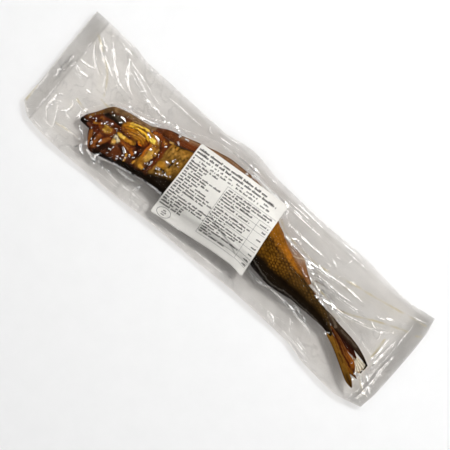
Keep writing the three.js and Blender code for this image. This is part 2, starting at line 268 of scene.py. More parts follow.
def new_piece(name, bm, material, smooth=True):
    """A finished bmesh as an object of the scene."""
    mesh = bpy.data.meshes.new(name)
    bm.to_mesh(mesh)
    bm.free()
    piece = bpy.data.objects.new(name, mesh)
    bpy.context.scene.collection.objects.link(piece)
    mesh.materials.append(material)
    mesh.polygons.foreach_set("use_smooth", [smooth] * len(mesh.polygons))
    return piece


def points_of(piece):
    """The piece's points in millimetres."""
    flat = np.empty(len(piece.data.vertices) * 3, dtype=np.float32)
    piece.data.vertices.foreach_get("co", flat)
    return flat.reshape(-1, 3).astype(float) / MM


def move_points(piece, places):
    """Moves the piece's points to places in millimetres."""
    piece.data.vertices.foreach_set("co", (np.asarray(places) * MM).astype(np.float32).ravel())
    piece.data.update()


def face_outward(piece):
    """Turns a closed piece's faces outwards where they point in."""
    piece.data.calc_loop_triangles()
    corners = np.empty(len(piece.data.loop_triangles) * 3, dtype=np.int32)
    piece.data.loop_triangles.foreach_get("vertices", corners)
    first, second, third = (points_of(piece)[corners[k::3]] for k in range(3))
    if (first * np.cross(second, third)).sum() < 0:
        piece.data.flip_normals()


def paint(piece, colors, name="skin"):
    """Colours each point of the piece. Colours are linear."""
    layer = piece.data.color_attributes.new(name, "FLOAT_COLOR", "POINT")
    full = np.ones((len(colors), 4), dtype=np.float32)
    full[:, :3] = np.clip(colors, 0, 1)
    layer.data.foreach_set("color", full.ravel())


def mask(piece, name, values):
    """A number for each point of the piece, which its material reads."""
    layer = piece.data.attributes.new(name, "FLOAT", "POINT")
    layer.data.foreach_set("value", np.asarray(values, dtype=np.float32))


def rings(name, material, around, along):
    """A closed ball: its points' shares of the way along it, their angles round it, and 0 at its two tips."""
    bm = bmesh.new()
    bmesh.ops.create_uvsphere(bm, u_segments=around, v_segments=along, radius=1)
    piece = new_piece(name, bm, material)
    unit = points_of(piece) * MM
    share = np.arccos(np.clip(unit[:, 2], -1, 1)) / math.pi
    angle = np.arctan2(unit[:, 1], unit[:, 0])
    return piece, share, angle, np.where((share <= 0.0005) | (share >= 0.9995), 0, 1)


APART = 0.1  # between a flat mesh's two sides, until its points are moved to their places


def thicken(bm):
    """Gives a flat mesh an upper side too, and closes its rim."""
    bmesh.ops.solidify(bm, geom=bm.faces[:] + bm.edges[:] + bm.verts[:], thickness=-APART)


def closed_sheet(name, material, cells):
    """A closed sheet: its points, from -0.5 to 0.5 along and across, and which of them are on top."""
    bm = bmesh.new()
    bmesh.ops.create_grid(bm, x_segments=cells[0], y_segments=cells[1], size=0.5)
    thicken(bm)
    piece = new_piece(name, bm, material)
    along, across, up = (points_of(piece) * MM).T
    return piece, along, across, up > APART / 2


def linear(red, green, blue):
    """A linear colour from screen values of 0 to 255."""
    screen = np.array([red, green, blue]) / 255
    return np.where(screen <= 0.04045, screen / 12.92, ((screen + 0.055) / 1.055) ** 2.4)


def toward(colors, color, amount):
    """The colours, mixed with one colour by an amount for each."""
    return colors + (np.asarray(color) - colors) * np.asarray(amount)[:, None]


def layered(places, base, *layers):
    """A base colour for all the places, and layers on it, each a colour and how much of it shows."""
    colors = np.tile(linear(*base), (len(places), 1))
    for color, amount in layers:
        colors = toward(colors, linear(*color), amount)
    return colors


# ---------------------------------------------------------------- materials


def feed(tree, socket, value):
    """Sets a shader socket to a number or a colour, or links another node's output to it."""
    if isinstance(value, bpy.types.NodeSocket):
        tree.links.new(value, socket)
    else:
        socket.default_value = value


def node(tree, kind, *inputs, **values):
    """A shader node, its sockets fed in their order or by name. Names starting with _ are its settings."""
    made = tree.nodes.new(kind)
    for name, value in values.items():
        if name.startswith("_"):
            setattr(made, name[1:], value)
    for socket, value in zip(made.inputs, inputs):
        feed(tree, socket, value)
    for name, value in values.items():
        if not name.startswith("_"):
            feed(tree, made.inputs[name.replace("_", " ")], value)
    return made


def new_material(name):
    """An empty material, its node tree and its output node."""
    material = bpy.data.materials.new(name)
    material.use_nodes = True
    tree = material.node_tree
    tree.nodes.clear()
    output = tree.nodes.new("ShaderNodeOutputMaterial")
    return material, tree, output


def mottle_group():
    """Fine uneven colour and a bump height, on the object's own coordinates."""
    group = bpy.data.node_groups.new("mottle", "ShaderNodeTree")
    for name, kind, direction, value in (
        ("Color", "NodeSocketColor", "INPUT", None),
        ("Size", "NodeSocketFloat", "INPUT", 400.0),
        ("Strength", "NodeSocketFloat", "INPUT", 0.3),
        ("Color", "NodeSocketColor", "OUTPUT", None),
        ("Height", "NodeSocketFloat", "OUTPUT", None),
    ):
        socket = group.interface.new_socket(name=name, in_out=direction, socket_type=kind)
        if value is not None:
            socket.default_value = value
    come, go = group.nodes.new("NodeGroupInput"), group.nodes.new("NodeGroupOutput")
    place = group.nodes.new("ShaderNodeTexCoord")
    noise = node(
        group, "ShaderNodeTexNoise",
        Vector=place.outputs["Object"], Scale=come.outputs["Size"], Detail=5.0, Roughness=0.62,
    )
    spread = node(
        group, "ShaderNodeMapRange",
        Value=noise.outputs["Fac"], From_Min=0.3, From_Max=0.7, To_Min=-1.0, To_Max=1.0,
    )
    scaled = node(
        group, "ShaderNodeMath", spread.outputs["Result"], come.outputs["Strength"], _operation="MULTIPLY",
    )
    value = node(group, "ShaderNodeMath", scaled.outputs["Value"], 1.0, _operation="ADD")
    shade = node(group, "ShaderNodeHueSaturation", Color=come.outputs["Color"], Value=value.outputs["Value"])
    feed(group, go.inputs["Color"], shade.outputs["Color"])
    feed(group, go.inputs["Height"], noise.outputs["Fac"])
    return group


MOTTLE = mottle_group()


def mottled(tree, shader, color, size, strength, bump):
    """Feeds the shader a colour with fine mottling, and a bump of the same grain."""
    if not isinstance(color, bpy.types.NodeSocket):
        color = (*color, 1)
    group = node(tree, "ShaderNodeGroup", _node_tree=MOTTLE, Color=color, Size=size, Strength=strength)
    rise = node(tree, "ShaderNodeBump", Height=group.outputs["Height"], Strength=bump, Distance=0.0003)
    feed(tree, shader.inputs["Base Color"], group.outputs["Color"])
    feed(tree, shader.inputs["Normal"], rise.outputs["Normal"])


def skin_material(name, roughness, coat, mottling=0.28, size=520.0, bump=0.35):
    """Smoked skin: its painted colours, finely mottled, under a coat of oil."""
    material, tree, output = new_material(name)
    shader = node(
        tree, "ShaderNodeBsdfPrincipled", Roughness=roughness, Coat_Weight=coat, Coat_Roughness=0.1,
        Specular_IOR_Level=0.05, Specular_Tint=(1, 0.62, 0.3, 1),
    )
    painted = node(tree, "ShaderNodeAttribute", _attribute_name="skin")
    mottled(tree, shader, painted.outputs["Color"], size, mottling, bump)
    feed(tree, output.inputs["Surface"], shader.outputs["BSDF"])
    return material


def film_material():
    """Clear film: it tints what is behind it a little, with painted shade streaks, and mirrors the lights,
    most where it slopes.
    """
    material, tree, output = new_material("clear_film")
    place = tree.nodes.new("ShaderNodeTexCoord")
    noise = node(
        tree, "ShaderNodeTexNoise", Vector=place.outputs["Object"], Scale=260.0, Detail=3.0, Roughness=0.55,
    )
    rise = node(tree, "ShaderNodeBump", Height=noise.outputs["Fac"], Strength=0.2, Distance=0.0004)
    facing = node(tree, "ShaderNodeLayerWeight", Normal=rise.outputs["Normal"], Blend=0.5)
    stretched = node(
        tree, "ShaderNodeMapping", Vector=place.outputs["Object"], Rotation=(0, 0, 0.5), Scale=(22, 70, 22),
    )
    # Soft stretched streaks that darken the tint: painted shade.
    streak_noise = node(
        tree, "ShaderNodeTexNoise", Vector=stretched.outputs["Vector"], Scale=1.0, Detail=4.0, Roughness=0.6,
    )
    painted_streaks = node(
        tree, "ShaderNodeMapRange",
        Value=streak_noise.outputs["Fac"], From_Min=0.35, From_Max=0.75, To_Min=0.0, To_Max=0.34,
    )
    dimmed = node(
        tree, "ShaderNodeMath", facing.outputs["Facing"], painted_streaks.outputs["Result"], _operation="MAXIMUM",
    )
    clearness = node(tree, "ShaderNodeAttribute", _attribute_name="tint")
    tint = node(
        tree, "ShaderNodeMix", _data_type="RGBA",
        Factor=dimmed.outputs["Value"], A=clearness.outputs["Color"], B=(0.82, 0.80, 0.78, 1),
    )
    clear = node(tree, "ShaderNodeBsdfTransparent", Color=tint.outputs["Result"])
    gloss = node(
        tree, "ShaderNodeBsdfPrincipled",
        Base_Color=(0.95, 0.94, 0.93, 1), Metallic=0.9, Roughness=0.07, Normal=rise.outputs["Normal"],
    )
    curve = node(tree, "ShaderNodeMath", facing.outputs["Facing"], 3.0, _operation="POWER")
    grazing = node(tree, "ShaderNodeMath", curve.outputs["Value"], 12.0, 1.0, _operation="MULTIPLY_ADD")
    haze = node(tree, "ShaderNodeAttribute", _attribute_name="haze")
    share = node(
        tree, "ShaderNodeMath", grazing.outputs["Value"], haze.outputs["Fac"],
        _operation="MULTIPLY", _use_clamp=True,
    )
    both = node(
        tree, "ShaderNodeMixShader", share.outputs["Value"], clear.outputs["BSDF"], gloss.outputs["BSDF"],
    )
    feed(tree, output.inputs["Surface"], both.outputs["Shader"])
    return material


def plain_material(name, color, roughness, size, strength, bump):
    """One colour, or the piece's own painted colours of that name, finely mottled."""
    material, tree, output = new_material(name)
    shader = node(tree, "ShaderNodeBsdfPrincipled", Roughness=roughness)
    if isinstance(color, str):
        color = node(tree, "ShaderNodeAttribute", _attribute_name=color).outputs["Color"]
    mottled(tree, shader, color, size, strength, bump)
    feed(tree, output.inputs["Surface"], shader.outputs["BSDF"])
    return material


# ---------------------------------------------------------------- fish


def body_top(x, y):
    """Height of the fish's upper side over (x, y), without its relief, and 0 depth outside its outline."""
    low, high = back(x), belly(x)
    across = np.abs(2 * y - low - high) / (high - low)
    inside = np.clip(1 - np.minimum(across, 1) ** SIDE_ROUNDNESS, 0, 1)
    return mid_height(x) + thickness(x) / 2 * np.sqrt(inside)


def scales(x, y, pitch):
    """Overlapping scales with their free edges towards the tail: 0 at a scale's root and 1 at its edge."""
    u, v = x / pitch, y / pitch
    found = np.zeros(np.shape(x), bool)
    height = np.zeros(np.shape(x))
    first = np.floor(u).astype(int)
    for column in (-1, 0, 1):
        cu = first + column
        shift = 0.5 * (cu % 2)
        cv = np.round(v - shift) + shift
        reach = np.hypot((u - cu) / 1.25, (v - cv) / 0.6)
        here = (reach < 1) & (u > cu) & ~found
        height = np.where(here, reach, height)
        found |= here
    return height


def strokes_near(x, y, strokes):
    """For each painted stroke, the places near it, how far they lie from it, and the stroke itself."""
    for stroke in strokes:
        path, half = bend(stroke[0], 4), stroke[1]
        low, high = path.min(axis=0) - half * 2, path.max(axis=0) + half * 2
        near = np.flatnonzero((x > low[0]) & (x < high[0]) & (y > low[1]) & (y < high[1]))
        if len(near):
            _, away, _ = beside(path, x[near], y[near])
            yield near, away / half, stroke


def stroked(colors, x, y, strokes, seed):
    """Paints the strokes over the colours, with uneven edges."""
    x, y = x + 0.45 * lumps(x, y, 1.9, seed, 3), y + 0.45 * lumps(x, y, 1.9, seed + 2, 3)
    for near, away, (_, _, color, strength, _) in strokes_near(x, y, strokes):
        colors[near] = toward(colors[near], linear(*color), strength * ramp(1.3, 0.55, away))
    return colors


def stroke_relief(x, y, strokes):
    """How far the painted strokes stand out of the skin, or are sunk into it."""
    relief = np.zeros(np.shape(x))
    for near, away, (_, _, _, _, rise) in strokes_near(x, y, strokes):
        relief[near] += rise * swell(away)
    return relief


HEAD_STROKES = [
    # points, half width, colour, strength, rise; a dark stroke that sinks into the skin is partly painted
    # shade in its groove
    # undertones
    ([(-124, -20), (-117, -20), (-112, -18)], 3.0, (20, 15, 11), 1.0, 0),
    ([(-112, -16), (-104, -19), (-98, -18)], 4.0, (84, 32, 14), 0.9, 0),
    ([(-108, -25), (-100, -27), (-92, -25)], 5.0, (84, 42, 20), 0.9, 0),
    # Painted shade along the head's lower edge.
    ([(-98, -31), (-90, -29), (-80, -27), (-66, -22)], 2.6, (20, 12, 8), 1.0, 0),
    ([(-82, -24), (-72, -22.6), (-63, -20)], 2.6, (18, 12, 8), 1.0, 0),
    # throat
    # The throat's pale margin is painted reflection of the film tented over it.
    ([(-114, 0), (-108, 2.6), (-100, 5.4), (-90, 7.4), (-80, 10.6)], 2.6, (134, 103, 70), 0.95, 0),
    ([(-106, 3), (-98, 4.6)], 1.6, (98, 74, 46), 0.8, 0.2),
    ([(-113, -3.5), (-111, -0.5)], 2.4, (88, 64, 38), 0.9, 0),
    # A pale dot: painted highlight.
    ([(-112, -5.8), (-111, -4.8)], 0.9, (122, 112, 90), 0.6, 0.2),
    ([(-110, -5.4), (-104, -4.6), (-97, -4.8)], 2.6, (20, 12, 8), 1.0, -0.3),
    # Grey-olive under the throat, its grey partly painted sheen.
    ([(-107, -2), (-102, -1.4), (-98, -1.6)], 1.6, (62, 56, 45), 0.85, 0.2),
    # A pale line: painted highlight under a film crease.
    ([(-103.6, 0.6), (-98.6, 0.4)], 0.6, (96, 84, 66), 0.6, 0.2),
    ([(-120, -14), (-117.4, -9.6), (-115, -5)], 1.3, (118, 78, 34), 0.9, 0.1),
    # upper jaw
    ([(-116, -11), (-111, -8), (-104, -6.6), (-96, -6)], 1.2, (96, 44, 22), 0.8, 0.2),
    ([(-112.6, -9.4), (-110.4, -8.6)], 0.9, (140, 80, 28), 0.9, 0.1),
    # A reddish-grey line: painted highlight of the film.
    ([(-110, -10.4), (-107, -9.2), (-103, -7.9)], 0.5, (132, 96, 80), 0.7, 0.2),
    ([(-116, -13), (-110, -12), (-106, -10.4)], 0.8, (66, 28, 15), 0.8, -0.2),
    ([(-114, -15), (-111.8, -14)], 0.7, (200, 132, 46), 0.9, 0.2),
    ([(-116.5, -18.8), (-113.6, -19)], 1.2, (112, 62, 42), 0.8, 0),
    # snout and skull
    ([(-111.4, -21.5), (-109, -26), (-106, -30.4)], 1.5, (176, 104, 42), 0.85, 0.2),
    ([(-104.6, -19.6), (-104, -24), (-103.4, -28)], 1.9, (144, 82, 34), 0.7, 0.3),
    ([(-107.4, -21), (-107, -26), (-105.4, -30)], 0.8, (36, 17, 9), 0.9, -0.4),
    ([(-98, -16.6), (-99.6, -20.5), (-101, -24)], 1.4, (152, 90, 38), 0.75, 0.3),
    ([(-102.2, -20), (-102, -26)], 0.6, (60, 28, 12), 0.8, -0.3),
    ([(-96, -21), (-98, -26), (-100, -30)], 2.0, (32, 17, 10), 0.9, -0.4),
    ([(-109.6, -13.4), (-107, -14.6)], 1.4, (156, 86, 26), 0.85, 0),
    ([(-106.5, -16.4), (-102, -17.4), (-98.2, -15)], 0.9, (66, 28, 12), 0.9, -0.3),
    ([(-97.8, -13.4), (-97.6, -10)], 0.9, (84, 42, 18), 0.9, -0.2),
    # eye
    ([(-104.4, -13.4), (-101, -12.8)], 3.6, (118, 60, 22), 0.9, 0),
    ([(-103.6, -12.9), (-102.4, -12.5)], 2.5, (186, 136, 44), 1.0, 0),
    ([(-102.9, -12.6), (-102.1, -12.4)], 1.2, (128, 92, 36), 0.75, 0),
    ([(-106.4, -11.7), (-104.6, -11)], 0.6, (216, 178, 76), 0.8, 0),
    ([(-105.4, -14.3), (-103.4, -14.4)], 0.5, (226, 188, 86), 0.85, 0),
    # gill cover
    ([(-94, -2.4), (-90, -2), (-84, -2)], 3.4, (186, 116, 24), 1.0, 0),
    ([(-95, -4.2), (-91, -4.8), (-86, -5)], 1.3, (118, 64, 19), 0.8, -0.1),
    ([(-86, -2), (-79, -1.6), (-77.4, -1.6)], 2.6, (172, 112, 24), 0.9, 0),
    ([(-94, 0), (-88, 3), (-82, 4.6), (-77, 4), (-75, 2)], 2.6, (186, 124, 34), 0.9, 0),
    # The brightest yellow streaks on its ridges are partly painted highlight.
    ([(-92.6, 0.6), (-88, 2.2), (-83, 3.2), (-79, 3), (-76.4, 1.4)], 0.9, (255, 200, 56), 0.95, 0.35),
    ([(-92.6, 2.4), (-87.4, 5.0), (-83.4, 6.0), (-80.4, 6.6)], 0.6, (255, 212, 84), 0.95, 0.3),
    ([(-90, 1.6), (-85, 4.3), (-80.4, 5.2), (-77.6, 4.2)], 0.42, (84, 48, 14), 0.9, -0.3),
    ([(-93.6, 1.8), (-93.0, 3.4)], 0.6, (236, 188, 74), 0.9, 0.2),
    ([(-91.6, 1.8), (-90.4, 3.4)], 0.45, (226, 176, 68), 0.8, 0.2),
    ([(-86, 0.5), (-82.6, 0.9), (-78.4, 0.7)], 0.35, (248, 196, 84), 0.8, 0.1),
    ([(-94, -1.4), (-89, 0.6), (-85, 1.4), (-79, 1.6)], 0.45, (96, 54, 16), 0.8, -0.2),
    ([(-93.4, -3.2), (-89, -2.2), (-85, -1.4)], 0.4, (104, 60, 18), 0.8, -0.2),
    ([(-92, -4.2), (-88, -3.4), (-84.6, -2.6)], 0.35, (198, 140, 46), 0.7, 0.1),
    ([(-85.2, 0), (-85, -4.6)], 0.3, (116, 72, 22), 0.5, -0.15),
    ([(-84, -2.8), (-80, -2.6), (-78, -3.2)], 0.35, (124, 78, 22), 0.45, -0.1),
    ([(-76.6, 0.4), (-76.2, -2.4), (-76.8, -4.6)], 1.0, (112, 54, 18), 0.9, -0.2),
    ([(-74.6, 1.4), (-74.4, -3.6)], 1.0, (80, 32, 13), 0.95, -0.4),
    # hollow behind the cheek
    ([(-82.4, -7.4), (-78.6, -8), (-76, -10), (-74.8, -14)], 2.1, (42, 14, 9), 1.0, -0.7),
    # Two bright orange spots: painted glints.
    ([(-80.6, -4.6), (-79.8, -4.8)], 0.55, (230, 142, 34), 0.9, 0.2),
    ([(-79, -5.2), (-77.6, -5)], 0.6, (244, 120, 24), 0.95, 0.2),
    ([(-76.4, -8.4), (-75.6, -8.4)], 0.7, (112, 54, 24), 0.7, 0.3),
    # cheek
    ([(-95, -9.8), (-90, -9.4), (-86, -8.4), (-82.6, -7.4)], 1.5, (186, 126, 34), 0.95, 0.2),
    ([(-94.6, -9.8), (-90.6, -9.0)], 1.1, (248, 204, 76), 0.95, 0.3),
    ([(-91.8, -8.8), (-90.4, -9.2)], 0.55, (250, 214, 116), 0.8, 0.1),
    ([(-90, -12), (-85, -11.6), (-81, -12)], 1.7, (142, 76, 24), 0.9, 0),
    ([(-86, -12.6), (-83, -13.2)], 0.55, (180, 116, 54), 0.8, 0.2),
    ([(-80, -13.2), (-78.2, -13.8)], 1.1, (182, 98, 32), 0.85, 0.2),
    ([(-80, -9.6), (-82, -10.6)], 1.0, (100, 46, 18), 0.7, -0.2),
    ([(-88, -10.8), (-84, -10.4)], 0.35, (90, 42, 16), 0.7, -0.2),
    # pale wedge behind the eye
    ([(-95.8, -12.8), (-92.4, -13.8)], 1.7, (156, 138, 104), 0.95, 0),
    ([(-94.6, -14.4), (-93.6, -17.0)], 1.5, (206, 158, 76), 0.95, 0),
    ([(-96.4, -11.2), (-96.8, -13)], 0.8, (70, 58, 44), 0.85, -0.3),
    ([(-95.4, -12.2), (-92.6, -13.2)], 1.3, (226, 216, 184), 0.95, 0.2),
    ([(-95.0, -12.8), (-94.0, -13.6)], 0.65, (138, 136, 118), 0.85, 0),
    ([(-92.4, -13), (-91, -13.2)], 0.6, (246, 228, 178), 0.9, 0.2),
    ([(-94.6, -14.6), (-94.2, -16.6)], 1.2, (228, 182, 90), 0.9, 0.2),
    ([(-94.6, -13.6), (-93.8, -14.4)], 0.5, (120, 106, 80), 0.7, -0.1),
    # between the cheek and the nape
    ([(-89, -19), (-86, -21.4)], 3.4, (104, 52, 22), 0.9, 0.3),
    ([(-93, -19.4), (-94, -23)], 1.6, (52, 25, 12), 0.9, -0.3),
    ([(-89, -16.2), (-85, -17.2)], 1.0, (52, 24, 12), 0.85, -0.4),
    ([(-84, -17.6), (-83.4, -22)], 0.9, (56, 26, 13), 0.85, -0.4),
    ([(-88.6, -24), (-85, -25)], 1.0, (100, 52, 24), 0.7, 0.2),
    ([(-81.2, -17), (-80.2, -19), (-79.8, -21)], 0.75, (216, 154, 52), 0.95, 0.4),
    ([(-77, -16), (-77, -20)], 1.2, (56, 28, 13), 0.85, -0.4),
    ([(-73.6, -16.2), (-74, -18.6)], 0.75, (218, 154, 52), 0.95, 0.4),
    # hind gill plate
    ([(-74.6, 5), (-71, 3), (-69.6, -2), (-70, -9), (-70.4, -15)], 3.2, (160, 108, 36), 1.0, 0),
    # Its palest gold strokes are partly its own gold and partly painted highlight.
    ([(-74.8, 3.6), (-72.6, 3.4)], 1.5, (255, 222, 92), 0.95, 0.3),
    ([(-71.6, 0.6), (-69.6, 1.8), (-67.4, 1.6)], 1.0, (118, 68, 24), 0.8, -0.2),
    ([(-72.8, -0.6), (-73, -5), (-72.4, -10)], 0.75, (184, 96, 24), 0.9, 0),
    ([(-68.9, -3.6), (-68.6, -9.6)], 2.1, (214, 166, 72), 0.9, 0.2),
    ([(-66.2, -6), (-66.4, -9.6)], 0.8, (208, 162, 78), 0.85, 0.2),
    ([(-66, 1), (-65.6, -3.4)], 0.8, (186, 136, 58), 0.8, 0.2),
    ([(-71, -4.6), (-71, -9.6)], 0.45, (122, 72, 22), 0.75, -0.25),
    ([(-67.3, -1), (-67.3, -5)], 0.35, (124, 76, 26), 0.7, -0.2),
    ([(-69.9, -10), (-69.6, -13.4)], 0.4, (122, 72, 22), 0.6, -0.2),
    ([(-67.6, -13.4), (-66.4, -14.4)], 0.9, (108, 62, 20), 0.85, -0.3),
    ([(-68.8, -16.2), (-66.4, -16.2)], 1.2, (222, 162, 56), 0.85, 0.2),
    # groove behind it, and the start of the belly's flap
    ([(-77, 16.6), (-70, 15.4), (-62, 16.6)], 2.8, (104, 56, 26), 0.9, 0),
    ([(-77, 8.8), (-73, 9.6), (-69, 8.6), (-66, 6)], 1.3, (130, 64, 22), 0.9, 0),
    ([(-76.6, 9), (-75, 9.4)], 0.7, (182, 100, 34), 0.8, 0.2),
    ([(-64, 6), (-62.6, 0), (-62.6, -8), (-63, -13)], 1.15, (104, 48, 19), 0.95, -0.6),
    ([(-64.2, -7), (-64, -13), (-65, -17)], 0.5, (28, 13, 8), 0.9, -0.4),
    ([(-67, 8.4), (-65.6, 8)], 0.8, (174, 116, 42), 0.8, 0.1),
    ([(-63.6, 10.6), (-61.4, 11.8)], 0.7, (210, 164, 86), 0.8, 0.2),
]
TRUNK_STROKES = [
    # A pale grey line along the dark back: painted reflection of the film.
    (
        [(37, -11), (45, -13), (55, -15), (62, -14.6), (70, -12.6), (84, -12.2), (103, -12.4)],
        0.55, (92, 87, 80), 0.8, 0,
    ),
    ([(-59, -5), (-56, -5.4)], 2.0, (178, 122, 34), 0.75, 0.15),
    ([(-58.6, 8.6), (-57.6, 7.4)], 1.0, (198, 150, 70), 0.7, 0.1),
    ([(-54, 11.4), (-52.4, 10)], 0.8, (186, 138, 58), 0.6, 0.1),
    ([(-50.6, 9.6), (-49.6, 8)], 0.8, (182, 134, 54), 0.6, 0.1),
    ([(-61.4, 4.6), (-61, 2.6)], 0.8, (190, 146, 68), 0.6, 0.1),
    ([(-56, 4.6), (-54.6, 3.0)], 1.0, (174, 128, 56), 0.5, 0.1),
    ([(-50, -3), (-48.6, -5.6)], 0.9, (168, 122, 46), 0.6, 0.1),
    ([(-52.4, -4.4), (-51.6, -5.8)], 0.8, (202, 154, 68), 0.6, 0.1),
    ([(-59.6, -9.2), (-57, -9.4), (-52, -9.4), (-47, -7.6)], 1.0, (120, 92, 46), 0.7, 0.25),
    ([(-61.8, -1), (-62, -9), (-61, -12)], 1.1, (108, 56, 24), 0.85, -0.25),
]
FACE_RIDGES = [
    # points, height, half width
    ([(-110, -27), (-106, -21), (-101, -18.5), (-96, -18)], 0.9, 1.5),
    ([(-107, -30), (-102, -24), (-97, -22)], 0.7, 1.3),
    ([(-94, -14.5), (-88, -14.2), (-82, -16.8), (-77, -17.2)], 1.0, 1.3),
    ([(-92, -19), (-86, -20), (-81, -23), (-79, -27)], 0.8, 1.3),
    ([(-90, -25), (-84, -24), (-80, -21)], 0.7, 1.2),
    ([(-78.6, -10.4), (-76.6, -14.6), (-75, -18)], 0.9, 1.0),
    ([(-72, -20), (-67, -19.4), (-63, -16)], 0.6, 1.2),
    ([(-66.4, 6.2), (-63.4, 2.4), (-62.2, -6), (-63, -13)], 0.7, 1.0),
    ([(-73, 7.6), (-69, 7.2), (-65.6, 4.0)], 0.7, 1.0),
]
JAW_RIDGES = [
    # points, height, half width
    ([(-121, -16), (-113, -6), (-106, 0), (-96, 3.4)], 0.8, 1.2),
    ([(-113, -11.0), (-106, -4.5), (-98, -2.0), (-90, -1)], 0.9, 1.4),
    ([(-109, 2.0), (-100, 5.0), (-90, 7)], 0.5, 1.2),
    ([(-105, -8), (-98, -5.6), (-92, -4.4)], 0.6, 0.8),
]
FACE_HOLLOWS = [
    # at, radii, turn, depth
    ((-79.4, -6.6), (4.2, 5.6), 20, 1.5),
    ((-103.6, -19.6), (5.0, 1.6), 10, 0.6),
    ((-87.5, -17.5), (3.2, 1.2), -10, 0.6),
    ((-96.0, -23.5), (2.6, 1.6), 30, 0.7),
    ((-84.5, -26.5), (3.0, 1.2), -20, 0.5),
]


def ridged(relief, x, y, ridges, ends):
    """A relief with rounded ridges on it, which are lowest at this share of their length from each end."""
    for points, height, half in ridges:
        along, away, _ = beside(bend(points), x, y)
        relief = relief + height * swell(away, half) * np.sin(math.pi * np.clip(along, ends, 1 - ends))
    return relief


def on_flank(x, y):
    """1 on the flank and 0 beyond the belly slit."""
    return np.where(x > SLIT_END, 1, ramp(slit(x) + 0.5, slit(x) - 1.5, y))


def body_relief(x, y):
    """The fish's relief over its smooth side: wrinkles and ridges on the head, scales and the belly slit."""
    head = ramp(-58, -66, x)
    relief = head * (0.5 * lumps(x, y, 4.2, 11, 3) * ramp(-9, -16, y) + 0.16 * lumps(x, y, 2.0, 15, 2))
    relief = ridged(relief, x, y, FACE_RIDGES, 0.08)
    for at, radii, turn, depth in FACE_HOLLOWS:
        relief = relief - depth * swell(oval(at, radii, turn, x, y))
    relief = relief + stroke_relief(x, y, HEAD_STROKES) * ramp(-60, -63, x)
    relief = relief + stroke_relief(x, y, TRUNK_STROKES)
    trunk = ramp(-62, -58, x)
    relief = relief + trunk * on_flank(x, y) * SCALE_HEIGHT * (flank_scales(x, y) - 0.5)
    relief = relief + trunk * 0.18 * lumps(x, y, 9, 21, 2)
    opened = ramp(-73, -66, x) * ramp(SLIT_END, 8, x)
    beyond = ramp(-0.4, 1.0, y - slit(x))
    relief = relief - opened * SLIT_STEP * beyond * ramp(4.0, 9.0, belly(x) - slit(x) + 4)
    lip = swell(y - slit(x) + 1.0, 1.1)
    return relief + opened * 0.5 * lip


def flank_scales(x, y):
    """The flank's scales, in slightly uneven rows."""
    return scales(x + 0.9 * lumps(x, y, 5, 33, 2), y + 0.8 * lumps(x, y, 6, 35, 2), SCALE_PITCH)


def body_colors(x, y):
    """Smoked skin over (x, y): orange belly, gold scaled flank and near-black back, with painted shade beside
    the orange band and in the belly slit, and a painted reflection line along the back.
    """
    across = (2 * y - back(x) - belly(x)) / (belly(x) - back(x))
    uneven = lumps(x, y, 7, 31, 3)
    blotches = lumps(x, y, 2.6, 37, 3)
    front = ramp(-40, -50, x)
    # Painted shade in a band just beside the orange belly, on the flank's side.
    under = swell(y - orange_edge(x) + 1.6, 1.7) * ramp(SLIT_END, 34, x)
    orange = ramp(-1.2, 1.6, y - orange_edge(x) + 0.5 * uneven) * ramp(SLIT_END, 32, x)
    colors = layered(
        x, (102, 67, 15),
        ((138, 100, 42), front),
        ((172, 118, 40), 0.6 * front * ramp(6.0, 2.0, slit(x) - y)),
        ((80, 50, 12), 0.7 * under),
        ((144, 90, 20), orange),
        ((168, 104, 24), orange * ramp(42, 52, x)),
        ((58, 42, 17), ramp(42, 92, x) * 0.9 * (1 - 0.6 * orange)),
    )
    scale = flank_scales(x, y)
    flank = ramp(-63, -58, x) * on_flank(x, y) * (1 - 0.8 * front)
    plain = orange * (0.6 + 0.25 * ramp(42, 56, x))
    free_edge, shine, root = ramp(0.58, 0.92, scale), ramp(0.7, 0.25, scale), ramp(0.02, 0.2, scale)
    colors = colors * (1 - 0.8 * flank * (1 - plain) * (0.8 + 0.4 * uneven) * free_edge)[:, None]
    colors = colors * (1 + 0.6 * flank * (1 - plain) * shine * root)[:, None]
    streaks = lumps(x, y * 0.42, 1.5, 39, 2)
    marked = 1 + (0.36 * front + 0.14) * blotches + 0.75 * front * streaks
    colors = colors * (marked - 0.15 * front * ramp(-53, -46, x))[:, None]
    colors = colors * (1 + 0.34 * (1 - front) * (1 - 0.7 * orange) * lumps(x, y * 0.8, 1.9, 57, 2))[:, None]
    flap = ramp(-76, -68, x) * np.where(x > SLIT_END, 0, ramp(-0.8, 0.6, y - slit(x)))
    colors = toward(colors, linear(108, 52, 20), flap)
    colors = toward(colors, linear(150, 116, 84), flap * ramp(0.78, 0.98, across) * 0.85)
    # Painted shade: a near-black line in the belly slit's gap.
    line = swell(y - slit(x), 0.9) * ramp(-72, -68, x) * ramp(SLIT_END, 16, x)
    colors = toward(colors, linear(16, 8, 4), 0.95 * line)
    edge = dark_edge(x)
    dusk = ramp(4.0, -0.5, y - edge + 1.2 * uneven)
    colors = toward(colors, linear(44, 30, 10), 0.75 * dusk * ramp(-72, -60, x))
    colors = toward(colors, linear(14, 8, 4), ramp(1.4, -1.6, y - edge + 0.7 * uneven) * ramp(-84, -72, x))
    colors = stroked(colors, x, y, TRUNK_STROKES, 45)
    head = ramp(-60, -62.5, x)
    return colors * (1 - head[:, None]) * (1 + 0.12 * uneven)[:, None] + head[:, None] * head_colors(x, y)


def head_colors(x, y):
    """The head's browns, golds and near-blacks, the same for all the bones and skin that show there."""
    colors = stroked(layered(x, (74, 37, 17)), x, y, HEAD_STROKES, 41)
    grain = 0.24 * lumps(x, y, 1.3, 47, 3) + 0.14 * lumps(x, y, 3.1, 49, 2)
    fan = ramp(1.1, 0.9, oval(*FAN_OVAL, x, y))
    colors = colors * (1 + 0.5 * fan * (striped(x, y) - 0.68))[:, None]
    return colors * (1 + grain)[:, None]


